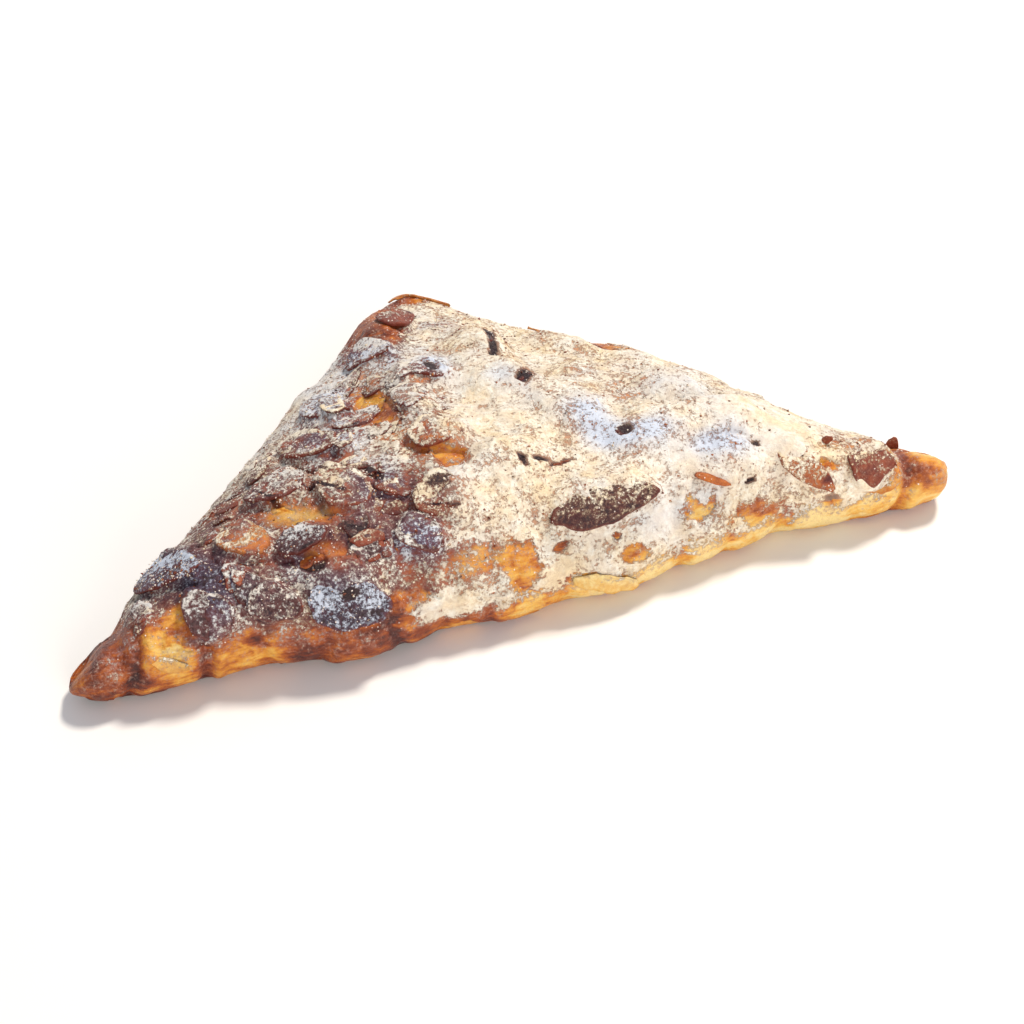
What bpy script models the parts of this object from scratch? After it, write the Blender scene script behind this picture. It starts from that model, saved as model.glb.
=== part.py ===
"""Almond turnover: a square of puff pastry folded corner to corner over its filling and baked on a tray,
with toasted almond slices lying on its crown.

Sizes are worked out in millimetres and built in metres, +Z up. The folded edge lies along X, the
right-angled corner points along +Y, and the origin is the middle of the box's underside, where the pastry
rests. The solids are the crust, whole and shut, and one solid for each large almond slice. Sugar, crumbs
and small slices are left to the finish.
"""

import math

import bmesh
import bpy
from mathutils import Matrix, Vector

MM = 0.001

# Plan of the folded square: half the folded edge, and the folded edge to the right-angled corner.
HALF_FOLD = 80.0
DEPTH = 80.0
CORNER_ROUND = 2.0
FOLD_BOW = 3.0

# The two blunt tips, (left, right): the left one is drawn out lower and more pointed than the right one.
TIP_RADIUS = (6.6, 4.2)
TIP_AXIS_Y = (0.8, 3.2)
TIP_HEIGHT = (3.2, 4.8)
TIP_HALF_WIDTH = 4.6
TIP_BLEND = 3.0

# Section across the folded edge: the fold's nose, the crown, and the lip where the two cut edges meet.
NOSE_RADIUS = 9.0
NOSE_HEIGHT = 6.0
NOSE_UNDERCUT = 4.5
LIP_RADIUS = 2.5
LIP_HEIGHT = 4.0
LIP_UNDERCUT = 1.8
SEAM_DEPTH = 1.1
SEAM_HALF_WIDTH = 0.7
FOLD_THICKNESS = 14.0
LIP_THICKNESS = 7.6
CROWN_RISE = 9.0
CROWN_FULLNESS = 0.7
CROWN_PAST_FOLD = 6.0
CROWN_PAST_CUT = 1.0
BLISTER_FADE = 1 / 6

# The most of a narrow section's width that each rounding and the seam may take.
NOSE_SHARE = 0.6
LIP_SHARE = 0.3
SEAM_SHARE = 0.2

# The pinch that sets each blunt tip off from the body.
PINCH_AT = 71.0
PINCH_WIDTH = 1.8
PINCH_DEPTH = 0.12

# Waves along X, each (centre, half width, height): the fold bows out, the lip puffs, the tips thin down.
FOLD_WAVES = [
    (-62, 12, -0.9), (-31, 13, -4.4), (-5, 12, -3.6), (15, 9, -3.4),
    (31, 5, -1.0), (47, 6, 1.2), (84, 14, -0.6),
]  # fmt: skip
LIP_WAVES = [
    (-58, 12, -1.0), (-28, 6, 1.6), (-11, 6, 4.2), (14, 7, -0.8),
    (34, 6, 3.0), (45, 6, 1.4), (62, 9, -2.6),
]  # fmt: skip
TIP_WAVES = [(-80, 11, -4.4), (80, 9, -2.0)]

# Blisters where the dough puffed and hollows between them, each (x, y, half width, height).
BLISTERS = [
    (-52, 12, 7, 1.4), (-38, 30, 6, 1.2), (-24, 50, 6, 1.1), (-30, 10, 8, 1.0), (-8, 64, 6, 1.3),
    (-14, 24, 7, 0.9), (2, 46, 7, 1.2), (8, 18, 8, 0.8), (22, 34, 7, 1.1), (30, 14, 7, 0.9),
    (44, 14, 6, 1.2), (54, 6, 5, 0.9), (-4, 2, 7, 0.8), (18, 0, 7, 1.2), (40, 30, 5, 1.1),
    (-44, 2, 5, -0.9), (-2, 32, 6, -0.8), (14, 50, 6, -0.8), (34, 22, 5, -0.8), (-20, 38, 5, -0.8),
]  # fmt: skip

# Almond slices, each (name, x, y, length, width, heading, pitch, roll), in millimetres and degrees.
# Heading turns the slice's pointed end from +X towards +Y, pitch lifts that end, roll lifts its left side.
SLICES = [
    ("almond_tail_edge", -60, 12, 17, 9, -45, 2, 2),
    ("almond_tail_fold", -56, 0, 10, 7, 127, 4, 2),
    ("almond_tail_low", -45, -1, 9, 6, -28, 4, 4),
    ("almond_left_gold", -47, 10, 10, 7, -52, 3, 5),
    ("almond_left_low", -39, 21, 11, 8, 180, 3, 4),
    ("almond_left_dark", -38, 6, 9, 5, -9, 8, 4),
    ("almond_left_high", -31, 29, 12, 7, -33, 3, 4),
    ("almond_left_mid", -29, 15, 13, 8, 108, 3, 2),
    ("almond_front_round", -33, -4, 14, 9, -24, 1, 3),
    ("almond_middle_left", -19, 2, 9, 6, -50, 5, 2),
    ("almond_arch", -14, 7, 8, 8, 70, 18, 0),
    ("almond_ridge", -11, 20, 9, 6, -16, 6, 4),
    ("almond_middle", -1, 11, 11, 7, -3, 3, 5),
    ("almond_great", 13, 0, 19, 9, 2, 2, 4),
    ("almond_smooth", 15, 22, 14, 9, -76, 2, 1),
    ("almond_pale", 5, 35, 13, 8, -41, 4, 3),
    ("almond_right_high", 25, 12, 12, 8, 177, 3, 1),
    ("almond_right_mid", 38, 12, 13, 8, 2, 3, 1),
    ("almond_right_back", 34, 23, 10, 7, -34, 3, 3),
    ("almond_right_bump", 38, 3, 8, 5, -8, 4, 2),
    ("almond_right_long", 50.5, 1.2, 13, 6, -48, 2, 3),
    ("almond_right_dark", 63, 0, 9, 7, 4, 4, -3),
    ("almond_sliver", 32.6, 1, 7, 3, -28, 3, 10),
    ("almond_back_edge", -25, 40, 10, 7, -45, 3, 3),
    ("almond_back_small", -6, 40, 8, 6, -61, 5, 4),
    ("almond_back_crack", 6, 51, 10, 6, -83, 4, 4),
    ("almond_back_left", -14, 52, 11, 7, -42, 3, 3),
    ("almond_back_right", 21, 47, 11, 6, -45, 3, 3),
    ("almond_corner", -6, 63, 8, 6, 26, 4, 1),
]
SLICE_THICKNESS = 1.1
SLICE_TAPER = 0.28
SLICE_DRAPE = 0.85
SLICE_MOST_SAG = 3.5
SLICE_POINTS = 14
SLICE_GAP = 0.35
SLICE_FOOTING = 3.0

# Rings of points round a slice, from its top to its underside, each (share of outline, of thickness).
SLICE_RINGS = [(0.55, 1.0), (0.93, 0.9), (1.0, 0.5), (0.93, 0.1), (0.55, 0.0)]

# Height from which a vertical or slanted look down is sure to start above the crust.
ABOVE = 40.0

# How finely the crust's skin is divided.
SECTIONS = 62
TIP_SECTIONS = 4
NOSE_STEPS = 5
CROWN_STEPS = 19
LIP_STEPS = 3
BASE_STEPS = 4


def waves(x, rows):
    """Sum of bell curves along X, for rows of (centre, half width, height)."""
    return sum(height * math.exp(-(((x - at) / width) ** 2)) for at, width, height in rows)


def bells(x, y, rows):
    """Sum of round bell curves on the plan, for rows of (x, y, half width, height)."""
    return sum(
        height * math.exp(-(((x - at_x) ** 2 + (y - at_y) ** 2) / width**2))
        for at_x, at_y, width, height in rows
    )


def within(value, low=0.0, high=1.0):
    return min(max(value, low), high)


def left_to_right(x, pair):
    """Runs evenly from the left tip's value to the right tip's."""
    return pair[0] + (pair[1] - pair[0]) * (x / HALF_FOLD + 1) / 2


def tip_rounding(x):
    """0 at a tip's end and 1 from one tip radius inwards, along a quarter circle."""
    radius = TIP_RADIUS[0] if x < 0 else TIP_RADIUS[1]
    inwards = within((HALF_FOLD - abs(x)) / radius)
    return math.sqrt(1 - (1 - inwards) ** 2)


def fold_edge(x):
    """Plan of the folded edge: a slight bow with its waves, rounded into the tips."""
    axis = left_to_right(x, TIP_AXIS_Y)
    return axis + (waves(x, FOLD_WAVES) - FOLD_BOW - axis) * tip_rounding(x)


def cut_edge(x):
    """Plan of the two cut edges: straight legs at 45 degrees, a rounded corner, and blunt tips."""
    axis = left_to_right(x, TIP_AXIS_Y)
    leg = DEPTH + CORNER_ROUND - math.hypot(x, CORNER_ROUND)
    blunt = axis + TIP_HALF_WIDTH
    edge = (leg + blunt + math.hypot(leg - blunt, TIP_BLEND)) / 2
    return axis + (edge - axis) * tip_rounding(x)


def crown(x, y):
    """Height of the top skin before its edges are rounded: a slope from fold to lip, pillow and blisters.

    The pillow is the product of three shares, each running from one edge to the corner facing it, and 27
    makes that product 1 where the three are equal.
    """
    front, back = fold_edge(x), cut_edge(x)
    across = within((y - front) / max(back - front, 1e-6))
    lip = LIP_THICKNESS + waves(x, LIP_WAVES)
    slope = FOLD_THICKNESS + (lip - FOLD_THICKNESS) * across + waves(x, TIP_WAVES)
    from_fold = within((y + CROWN_PAST_FOLD) / (DEPTH + CROWN_PAST_FOLD))
    from_left = within((DEPTH + CROWN_PAST_CUT - y + x) / (2 * DEPTH))
    from_right = within((DEPTH + CROWN_PAST_CUT - y - x) / (2 * DEPTH))
    pillow = (27 * from_fold * from_left * from_right) ** CROWN_FULLNESS
    inside = within(min(across, 1 - across) / BLISTER_FADE)
    return slope + CROWN_RISE * pillow + bells(x, y, BLISTERS) * inside


def pinch(x):
    """Share of its height that a section keeps where the tip is pinched off."""
    return 1 - PINCH_DEPTH * math.exp(-(((abs(x) - PINCH_AT) / PINCH_WIDTH) ** 2))


def quarter_turns(steps):
    """Angles from 0 up to, but not including, a quarter turn."""
    return [math.pi / 2 * i / steps for i in range(steps)]


def section(x, centre_y):
    """Closed loop of points across the folded edge at x: nose, crown and lip above, then back below."""
    front, back = fold_edge(x), cut_edge(x)
    width = back - front
    nose, nose_under = min(NOSE_RADIUS, NOSE_SHARE * width), min(NOSE_UNDERCUT, NOSE_SHARE * width)
    lip, lip_under = min(LIP_RADIUS, LIP_SHARE * width), min(LIP_UNDERCUT, LIP_SHARE * width)
    seam = min(SEAM_DEPTH, SEAM_SHARE * width)
    points = []
    for turn in quarter_turns(NOSE_STEPS):
        y = front + nose * (1 - math.cos(turn))
        points.append((y, NOSE_HEIGHT + (crown(x, y) - NOSE_HEIGHT) * math.sin(turn)))
    for i in range(CROWN_STEPS):
        y = front + nose + (width - nose - lip) * i / CROWN_STEPS
        points.append((y, crown(x, y)))
    for turn in quarter_turns(LIP_STEPS):
        y = back - lip * (1 - math.sin(turn))
        points.append((y, LIP_HEIGHT + (crown(x, y) - LIP_HEIGHT) * math.cos(turn)))
    points.append((back, LIP_HEIGHT + SEAM_HALF_WIDTH))
    points.append((back - seam, LIP_HEIGHT))
    points.append((back, LIP_HEIGHT - SEAM_HALF_WIDTH))
    for turn in quarter_turns(LIP_STEPS)[1:]:
        points.append((back - lip_under * (1 - math.cos(turn)), LIP_HEIGHT * (1 - math.sin(turn))))
    for i in range(BASE_STEPS):
        y = back - lip_under - (width - lip_under - nose_under) * i / BASE_STEPS
        points.append((y, 0.0))
    for turn in quarter_turns(NOSE_STEPS - 1):
        points.append((front + nose_under * (1 - math.sin(turn)), NOSE_HEIGHT * (1 - math.cos(turn))))
    middle, rounding, kept = left_to_right(x, TIP_HEIGHT), tip_rounding(x), pinch(x)
    return [
        (x * MM, (y - centre_y) * MM, (middle + (z - middle) * rounding) * kept * MM) for y, z in points
    ]


def section_places():
    """Places of the sections along X: crowded round each tip's quarter circle, even in between."""
    left, right = HALF_FOLD - TIP_RADIUS[0], HALF_FOLD - TIP_RADIUS[1]
    places = [-left + (left + right) * i / (SECTIONS - 1) for i in range(SECTIONS)]
    for turn in quarter_turns(TIP_SECTIONS)[1:]:
        places.append(-left - TIP_RADIUS[0] * math.sin(turn))
        places.append(right + TIP_RADIUS[1] * math.sin(turn))
    return sorted(places)


def plan_centre():
    """Half way from the folded edge's furthest bow to the right-angled corner."""
    return (min(fold_edge(x) for x in section_places()) + max(cut_edge(x) for x in section_places())) / 2


def finish_material(name, colour, roughness):
    """A dielectric Principled material of one colour."""
    material = bpy.data.materials.new(name)
    material.use_nodes = True
    shader = material.node_tree.nodes["Principled BSDF"]
    shader.inputs["Base Color"].default_value = (*colour, 1.0)
    shader.inputs["Roughness"].default_value = roughness
    shader.inputs["Metallic"].default_value = 0.0
    return material


def new_object(name, rings, ends, material):
    """A closed, smooth-shaded skin: rings of points joined in turn, each end fanned to its end point."""
    shell = bmesh.new()
    loops = [[shell.verts.new(point) for point in ring] for ring in rings]
    for loop, following in zip(loops, loops[1:]):
        for i, corner in enumerate(loop):
            j = (i + 1) % len(loop)
            shell.faces.new((corner, loop[j], following[j], following[i]))
    for loop, point in ((loops[0], ends[0]), (loops[-1], ends[1])):
        end = shell.verts.new(point)
        for i, corner in enumerate(loop):
            shell.faces.new((corner, loop[(i + 1) % len(loop)], end))
    bmesh.ops.recalc_face_normals(shell, faces=shell.faces)
    mesh = bpy.data.meshes.new(name)
    shell.to_mesh(mesh)
    shell.free()
    mesh.shade_smooth()
    mesh.materials.append(material)
    made = bpy.data.objects.new(name, mesh)
    bpy.context.scene.collection.objects.link(made)
    return made


def make_crust(centre_y, material):
    """The whole pastry, its sections joined along the folded edge and closed at both tips."""
    rings = [section(x, centre_y) for x in section_places()]
    ends = [
        (side * HALF_FOLD * MM, (axis - centre_y) * MM, height * MM)
        for side, axis, height in zip((-1, 1), TIP_AXIS_Y, TIP_HEIGHT)
    ]
    return new_object("crust", rings, ends, material)


def lay_slice(crust, centre_y, row, material):
    """One almond slice, a thin blade with a rounded butt and a tapered point, sagging onto the crust's skin.

    Each point stands over the slice's own tangent plane by the highest skin under the slice, less a share
    of how far the skin falls away there, plus the gap and the lift of a raised end or side.
    """
    name, x, y, length, width, heading, pitch, roll = row

    def skin_below(dx, dy):
        """Place on the crust's top skin, so far from the slice's middle."""
        return crust.ray_cast(Vector((x + dx, y - centre_y + dy, ABOVE)) * MM, Vector((0, 0, -1)))[1]

    centre = skin_below(0, 0)
    along_x = skin_below(SLICE_FOOTING, 0) - skin_below(-SLICE_FOOTING, 0)
    along_y = skin_below(0, SLICE_FOOTING) - skin_below(0, -SLICE_FOOTING)
    normal = along_x.cross(along_y).normalized()
    lean = Vector((0, 0, 1)).rotation_difference(normal).to_matrix()
    frame = lean @ Matrix.Rotation(math.radians(heading), 3, "Z")

    def outline(share):
        """(along, across) of the slice's outline, shrunk towards its middle."""
        turns = [2 * math.pi * i / SLICE_POINTS for i in range(SLICE_POINTS)]
        return [
            (
                share * length / 2 * math.cos(turn),
                share * width / 2 * math.sin(turn) * (1 - SLICE_TAPER * math.cos(turn)),
            )
            for turn in turns
        ]

    def skin_height(along, across):
        """Height of the crust's skin over the tangent plane, no lower than the most a slice can sag."""
        start = centre + frame @ Vector((along, across, ABOVE)) * MM
        hit, place, _, _ = crust.ray_cast(start, -normal)
        return max((place - centre).dot(normal) / MM if hit else -math.inf, -2 * SLICE_MOST_SAG)

    flat = [(0.0, 0.0)] + outline(1.0) + outline(0.55)
    highest = max(skin_height(along, across) for along, across in flat)

    def point(along, across, through):
        """A point of the slice, through its thickness from 0 below to 1 above."""
        sag = max(SLICE_DRAPE * (skin_height(along, across) - highest), -SLICE_MOST_SAG)
        lift = math.tan(math.radians(pitch)) * (along + length / 2)
        lift += math.tan(math.radians(roll)) * (across + width * (1 + SLICE_TAPER) / 2)
        up = highest + sag + lift + SLICE_GAP + SLICE_THICKNESS * through
        return frame @ Vector((along, across, up)) * MM

    rings = [[point(*spot, through) for spot in outline(share)] for share, through in SLICE_RINGS]
    made = new_object(name, rings, [point(0, 0, 1), point(0, 0, 0)], material)
    made.location = centre
    return made


def main():
    for old in list(bpy.data.objects):
        bpy.data.objects.remove(old)
    baked = finish_material("baked_crust", (0.62, 0.30, 0.09), 0.5)
    toasted = finish_material("toasted_almond", (0.28, 0.10, 0.04), 0.45)
    centre_y = plan_centre()
    crust = make_crust(centre_y, baked)
    bpy.context.view_layer.update()
    for row in SLICES:
        lay_slice(crust, centre_y, row, toasted)


main()
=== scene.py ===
"""Dresses the almond turnover: browned puff pastry, toasted almond slices and powdered sugar, on a pale floor.

Sizes are worked out in millimetres, in the plan of the folded square: X along the folded edge, Y from the
folded edge to the right-angled corner, Z up. add_piece shifts them to the frame and turns them to metres.
"""

import math

import bpy
import numpy as np
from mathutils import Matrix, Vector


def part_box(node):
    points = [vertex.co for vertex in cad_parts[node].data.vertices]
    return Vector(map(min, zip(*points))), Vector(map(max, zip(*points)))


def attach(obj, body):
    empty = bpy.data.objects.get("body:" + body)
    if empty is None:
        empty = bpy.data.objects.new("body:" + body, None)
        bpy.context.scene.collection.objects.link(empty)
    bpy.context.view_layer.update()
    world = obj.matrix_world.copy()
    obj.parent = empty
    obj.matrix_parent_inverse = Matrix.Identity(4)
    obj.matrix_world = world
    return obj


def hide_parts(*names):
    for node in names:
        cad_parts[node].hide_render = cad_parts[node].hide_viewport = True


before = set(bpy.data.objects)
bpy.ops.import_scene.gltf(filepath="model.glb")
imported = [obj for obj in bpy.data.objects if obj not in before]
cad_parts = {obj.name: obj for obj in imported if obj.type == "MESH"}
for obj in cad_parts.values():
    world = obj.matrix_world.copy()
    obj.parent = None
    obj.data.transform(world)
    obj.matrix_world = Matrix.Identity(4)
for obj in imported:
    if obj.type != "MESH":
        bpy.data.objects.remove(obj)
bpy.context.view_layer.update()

MM = 0.001
crust_low, crust_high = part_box("crust")

# ---------------------------------------------------------------- the pastry's driving sizes, as in the solid
DEPTH = 80.0
HALF_FOLD = crust_high.x / MM
CENTRE_Y = DEPTH - crust_high.y / MM
CORNER_ROUND = 2.0
FOLD_BOW = 3.0
TIP_RADIUS = (6.6, 4.2)
TIP_AXIS_Y = (0.8, 3.2)
TIP_HEIGHT = (3.2, 4.8)
TIP_HALF_WIDTH = 4.6
TIP_BLEND = 3.0
NOSE_RADIUS = 9.0
NOSE_HEIGHT = 6.0
NOSE_UNDERCUT = 4.5
LIP_RADIUS = 2.5
LIP_HEIGHT = 4.0
LIP_UNDERCUT = 1.8
FOLD_THICKNESS = 14.0
LIP_THICKNESS = 7.6
CROWN_RISE = 9.0
CROWN_FULLNESS = 0.7
CROWN_PAST_FOLD = 6.0
CROWN_PAST_CUT = 1.0
BLISTER_FADE = 1 / 6
NOSE_SHARE = 0.6
LIP_SHARE = 0.3
PINCH_AT = 71.0
PINCH_WIDTH = 1.8
PINCH_DEPTH = 0.12
FOLD_WAVES = [
    (-62, 12, -0.9), (-31, 13, -4.4), (-5, 12, -3.6), (15, 9, -3.4),
    (31, 5, -1.0), (47, 6, 1.2), (84, 14, -0.6),
]  # fmt: skip
LIP_WAVES = [
    (-58, 12, -1.0), (-28, 6, 1.6), (-11, 6, 4.2), (14, 7, -0.8),
    (34, 6, 3.0), (45, 6, 1.4), (62, 9, -2.6),
]  # fmt: skip
TIP_WAVES = [(-80, 11, -4.4), (80, 9, -2.0)]
BLISTERS = [
    (-52, 12, 7, 1.4), (-38, 30, 6, 1.2), (-24, 50, 6, 1.1), (-30, 10, 8, 1.0), (-8, 64, 6, 1.3),
    (-14, 24, 7, 0.9), (2, 46, 7, 1.2), (8, 18, 8, 0.8), (22, 34, 7, 1.1), (30, 14, 7, 0.9),
    (44, 14, 6, 1.2), (54, 6, 5, 0.9), (-4, 2, 7, 0.8), (18, 0, 7, 1.2), (40, 30, 5, 1.1),
    (-44, 2, 5, -0.9), (-2, 32, 6, -0.8), (14, 50, 6, -0.8), (34, 22, 5, -0.8), (-20, 38, 5, -0.8),
]  # fmt: skip

# ---------------------------------------------------------------- how finely the skin is divided
SECTIONS = 330
TOPPING_ENDS = (-72.0, 73.0)
TOPPING_SECTIONS = 371
TOPPING_FINENESS = 1.13
TIP_SECTIONS = 10
NOSE_ROWS = 40
CROWN_ROWS = 176
LIP_ROWS = 18
UNDER_LIP_ROWS = 12
BASE_ROWS = 22
UNDER_NOSE_ROWS = 20

# ---------------------------------------------------------------- what lies where on the crown
# How each CAD slice looks: (how far it shows out of the topping, sugar on it, how dark it is toasted, bluish
# cast of its sugar, partly thin sugar over dark almond and partly painted cool shade and highlight), each 0 to 1.
SLICE_LOOKS = {
    "almond_tail_edge": (0.6, 0.56, 0.8, 1.0),
    "almond_tail_fold": (0.3, 0.45, 0.9, 0.5),
    "almond_tail_low": (0.3, 0.45, 0.9, 0.4),
    "almond_left_gold": (0.4, 0.5, 0.2, 0.0),
    "almond_left_low": (0.4, 0.55, 0.8, 0.4),
    "almond_left_dark": (0.7, 0.42, 0.9, 0.6),
    "almond_left_high": (0.3, 0.55, 0.7, 0.2),
    "almond_left_mid": (0.3, 0.58, 0.6, 0.05),
    "almond_front_round": (0.78, 0.55, 0.95, 1.0),
    "almond_middle_left": (0.2, 0.5, 0.85, 0.4),
    "almond_arch": (0.0, 0.62, 0.6, 0.0),
    "almond_ridge": (0.1, 0.66, 0.5, 0.1),
    "almond_middle": (0.1, 0.85, 0.55, 0.0),
    "almond_great": (0.74, 0.42, 0.92, 0.0),
    "almond_smooth": (0.0, 0.9, 0.5, 1.0),
    "almond_pale": (0.0, 0.85, 0.6, 0.5),
    "almond_right_high": (0.0, 0.9, 0.6, 0.9),
    "almond_right_mid": (0.0, 0.9, 0.5, 0.9),
    "almond_right_back": (0.0, 0.8, 0.4, 0.2),
    "almond_right_bump": (0.0, 0.9, 0.4, 0.6),
    "almond_right_long": (0.72, 0.56, 0.36, 0.0),
    "almond_right_dark": (0.7, 0.38, 0.62, 0.0),
    "almond_sliver": (1.0, 0.05, 0.34, 0.0),
    "almond_back_edge": (0.2, 0.58, 0.7, 0.5),
    "almond_back_small": (0.3, 0.62, 0.75, 0.6),
    "almond_back_crack": (0.0, 0.8, 0.6, 0.0),
    "almond_back_left": (0.2, 0.62, 0.7, 0.5),
    "almond_back_right": (0.0, 0.8, 0.5, 0.2),
    "almond_corner": (0.6, 0.3, 0.6, 0.3),
}

# Slices whose far side is buried, so that only this share of their width shows.
NARROWER = {"almond_sliver": 0.46, "almond_great": 0.74, "almond_right_long": 0.8}

# Where the sugar is missing, each (x, y, half length, half width, heading, how bare), millimetres and degrees.
BARE_PATCHES = [
    (-77, 1, 9, 9, 0, 1.0), (-61, -1, 4, 5, -40, 0.4), (-62, 1, 5, 3, 20, 0.2), (-37.5, 12, 6, 3.4, -20, 0.3),
    (-33, 2.5, 3.0, 2.2, -30, 0.2), (-37, 3, 2.6, 2.0, 20, 0.18), (-24, -5, 4, 3, 0, 0.5), (-52, 19, 8, 3, 45, 0.15),
    (-3.2, -4.6, 2.8, 5.2, 8, 1.0), (-10, -3, 6, 4, 0, 0.3), (-11, 15, 4.5, 1.6, -45, 0.6), (-17.5, 36, 2.4, 5.5, 20, 0.6),
    (-11.5, 60, 7, 5, 42, 0.6), (-7, 70, 5, 2.4, 45, 0.5), (17, -5.4, 2.2, 1.4, 0, 0.9), (29.8, -2.2, 3.2, 2.4, -20, 0.95), (40.5, -2, 4.4, 2.6, 0, 0.9),
    (55, 0.5, 2.0, 1.4, 0, 0.8), (77, 3, 8, 12, 0, 0.9), (-3, 77.5, 7, 1.6, 0, 0.8),
    (27, 53, 8, 1.2, -45, 0.8), (58, 4, 6, 2, -25, 0.35),
]  # fmt: skip

# Heavier heaps of sugar, in the same words.
SUGAR_HEAPS = [
    (-17, -5.4, 4, 4, 0, 0.9), (-12, -6.5, 4, 3, 0, 0.3), (-20.5, -6, 3, 2.4, 0, 0.5), (60.5, -2, 3, 2.2, 30, 0.7), (3, -5, 3, 2, 0, 0.4),
    (-3, 28, 8, 8, 0, 0.2), (24, -2.5, 5, 5, 0, 0.4), (48, 10, 12, 5, -35, 0.4), (-14, 30, 4, 5, 0, 0.2),
    (-36, -6, 3, 1.4, -20, 0.3), (-76, 0, 5, 9, 0, 0.5), (-66, 3, 4, 4, 0, 0.3),
    (47, 4, 4, 3, -30, 0.6), (-21, 19.5, 4, 4, 0, 0.25), (-24, -5.5, 3, 2, 0, 0.3), (35, 22, 5, 5, 0, 0.25),
]  # fmt: skip

# Sugar painted bluish over dark almond, in the same words: partly the look of thin sugar over dark, partly painted
# cool shade and highlight.
BLUISH_SUGAR_AND_SHADE_PATCHES = [
    (-57, 8, 7, 4, -40, 0.9), (-54, 1, 4, 7, 0, 0.5), (-34.5, -2.5, 4, 4, 0, 0.7), (16, 18, 4, 5, 0, 1.0),
    (19, 11, 5, 3, -30, 0.9), (25, 11, 4, 2.5, 0, 0.9), (36, 6, 8, 4, -15, 1.0), (-24, 43, 4, 6, 0, 0.6),
    (-27, 29, 5, 6, 0, 0.5), (-40, 5, 4, 4, 0, 0.4), (-4, 42, 3, 4, 0, 0.9), (-20, 1, 6, 4, 0, 0.7),
    (25, -2, 7, 5, 0, 0.35), (34, 21, 9, 6, -30, 0.3), (-15, 51, 6, 4, 0, 0.5), (-22, 12, 5, 6, 0, 0.5),
    (6, 31, 6, 3, -40, 0.5),
]  # fmt: skip

# Thin, tan sugar over toasted almond within the thick coat, in the same words.
TAN_PATCHES = [
    (27, 23, 4, 3, 0, 0.9), (-10, 42, 7, 8, 0, 0.2), (20, 52, 7, 5, -40, 0.55), (5, 60, 6, 5, 0, 0.5), (34, 22, 9, 6, -40, 0.5),
    (4, 32, 6, 3, -35, 0.4), (-16, 24, 7, 7, 0, 0.25), (-20, 6, 6, 5, 0, 1.2), (-31, 30, 5, 4, 0, 1.3), (-55, 2, 5, 4, 0, 0.9), (-29, 3.5, 4, 3.5, 0, 1.2), (6, 9, 6, 3, 0, 0.35),
    (32, 7, 6, 2, -10, 0.4), (4, 1, 8, 6, 0, 0.35), (-2, 9, 5, 6, 0, 0.5), (-12, 0, 8, 5, 0, 0.4), (45, 1, 6, 3, 0, 0.3),
    (-8, 38, 7, 8, 0, 0.2), (-10, 50, 8, 6, 0, 0.2), (22, 36, 6, 5, 0, 0.25), (48, 14, 8, 3, -40, 0.25),
]  # fmt: skip

# Small hollows and thin dark lines, painted dark: burnt almond at the bottom and painted shade in them, in the
# same words.
SHADED_HOLLOWS = [
    (9, 30.7, 1.7, 1.3, 10, 1.0), (20.8, 11.7, 1.5, 1.3, 0, 1.0), (42.7, 5.2, 1.1, 0.8, 0, 0.8), (39.5, 0.5, 1.0, 0.6, 30, 0.9),
    (7.8, 48, 5, 0.9, -103, 1.0), (-8.8, 23.9, 0.7, 0.7, 0, 0.8), (-7, 17.9, 0.5, 0.5, 0, 0.5), (1.2, 9.6, 1.6, 0.5, -75, 1.0),
    (4.4, 9.4, 1.8, 0.5, -4, 0.8), (8.2, 8.7, 2.2, 0.5, 5, 1.0), (13.9, -3.6, 0.8, 0.7, 0, 0.8), (4, -3.1, 1.8, 0.9, 30, 0.7),
    (-33, -4.5, 1.4, 1.4, 0, 1.0), (-37.2, 1.8, 2.4, 2.2, 0, 0.6), (-24.2, -6.2, 1.8, 1.2, 0, 0.5), (-49.7, -3.4, 1.5, 1, 0, 0.9),
    (-13.8, 8.0, 2.0, 1.1, 0, 0.6), (-14, 4.6, 2.6, 0.4, -10, 0.8), (-39.9, 17, 3.2, 0.4, -48, 0.8),
    (-31.6, 15.2, 3.3, 0.4, -35, 0.8), (-28.6, 4.9, 2.2, 0.4, -33, 0.7), (-32.5, 22.4, 3.0, 0.4, -44, 0.8), (54.7, 0.6, 1.2, 0.9, 0, 0.4), (-2, 66, 1.0, 0.8, 0, 0.5), (28, 45.8, 4, 0.6, -45, 0.9),
    (-31, -6.6, 2.4, 0.7, -20, 0.2), (-6, 40, 1.6, 0.8, -70, 0.8), (66.3, 4.0, 3.6, 0.35, -20, 0.8),
    (55.0, -2.4, 2.2, 2.2, 0, 0.42), (-23, 16, 2.2, 0.7, -60, 0.8), (12, 36, 0.8, 0.5, 0, 0.5),
]  # fmt: skip
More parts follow.
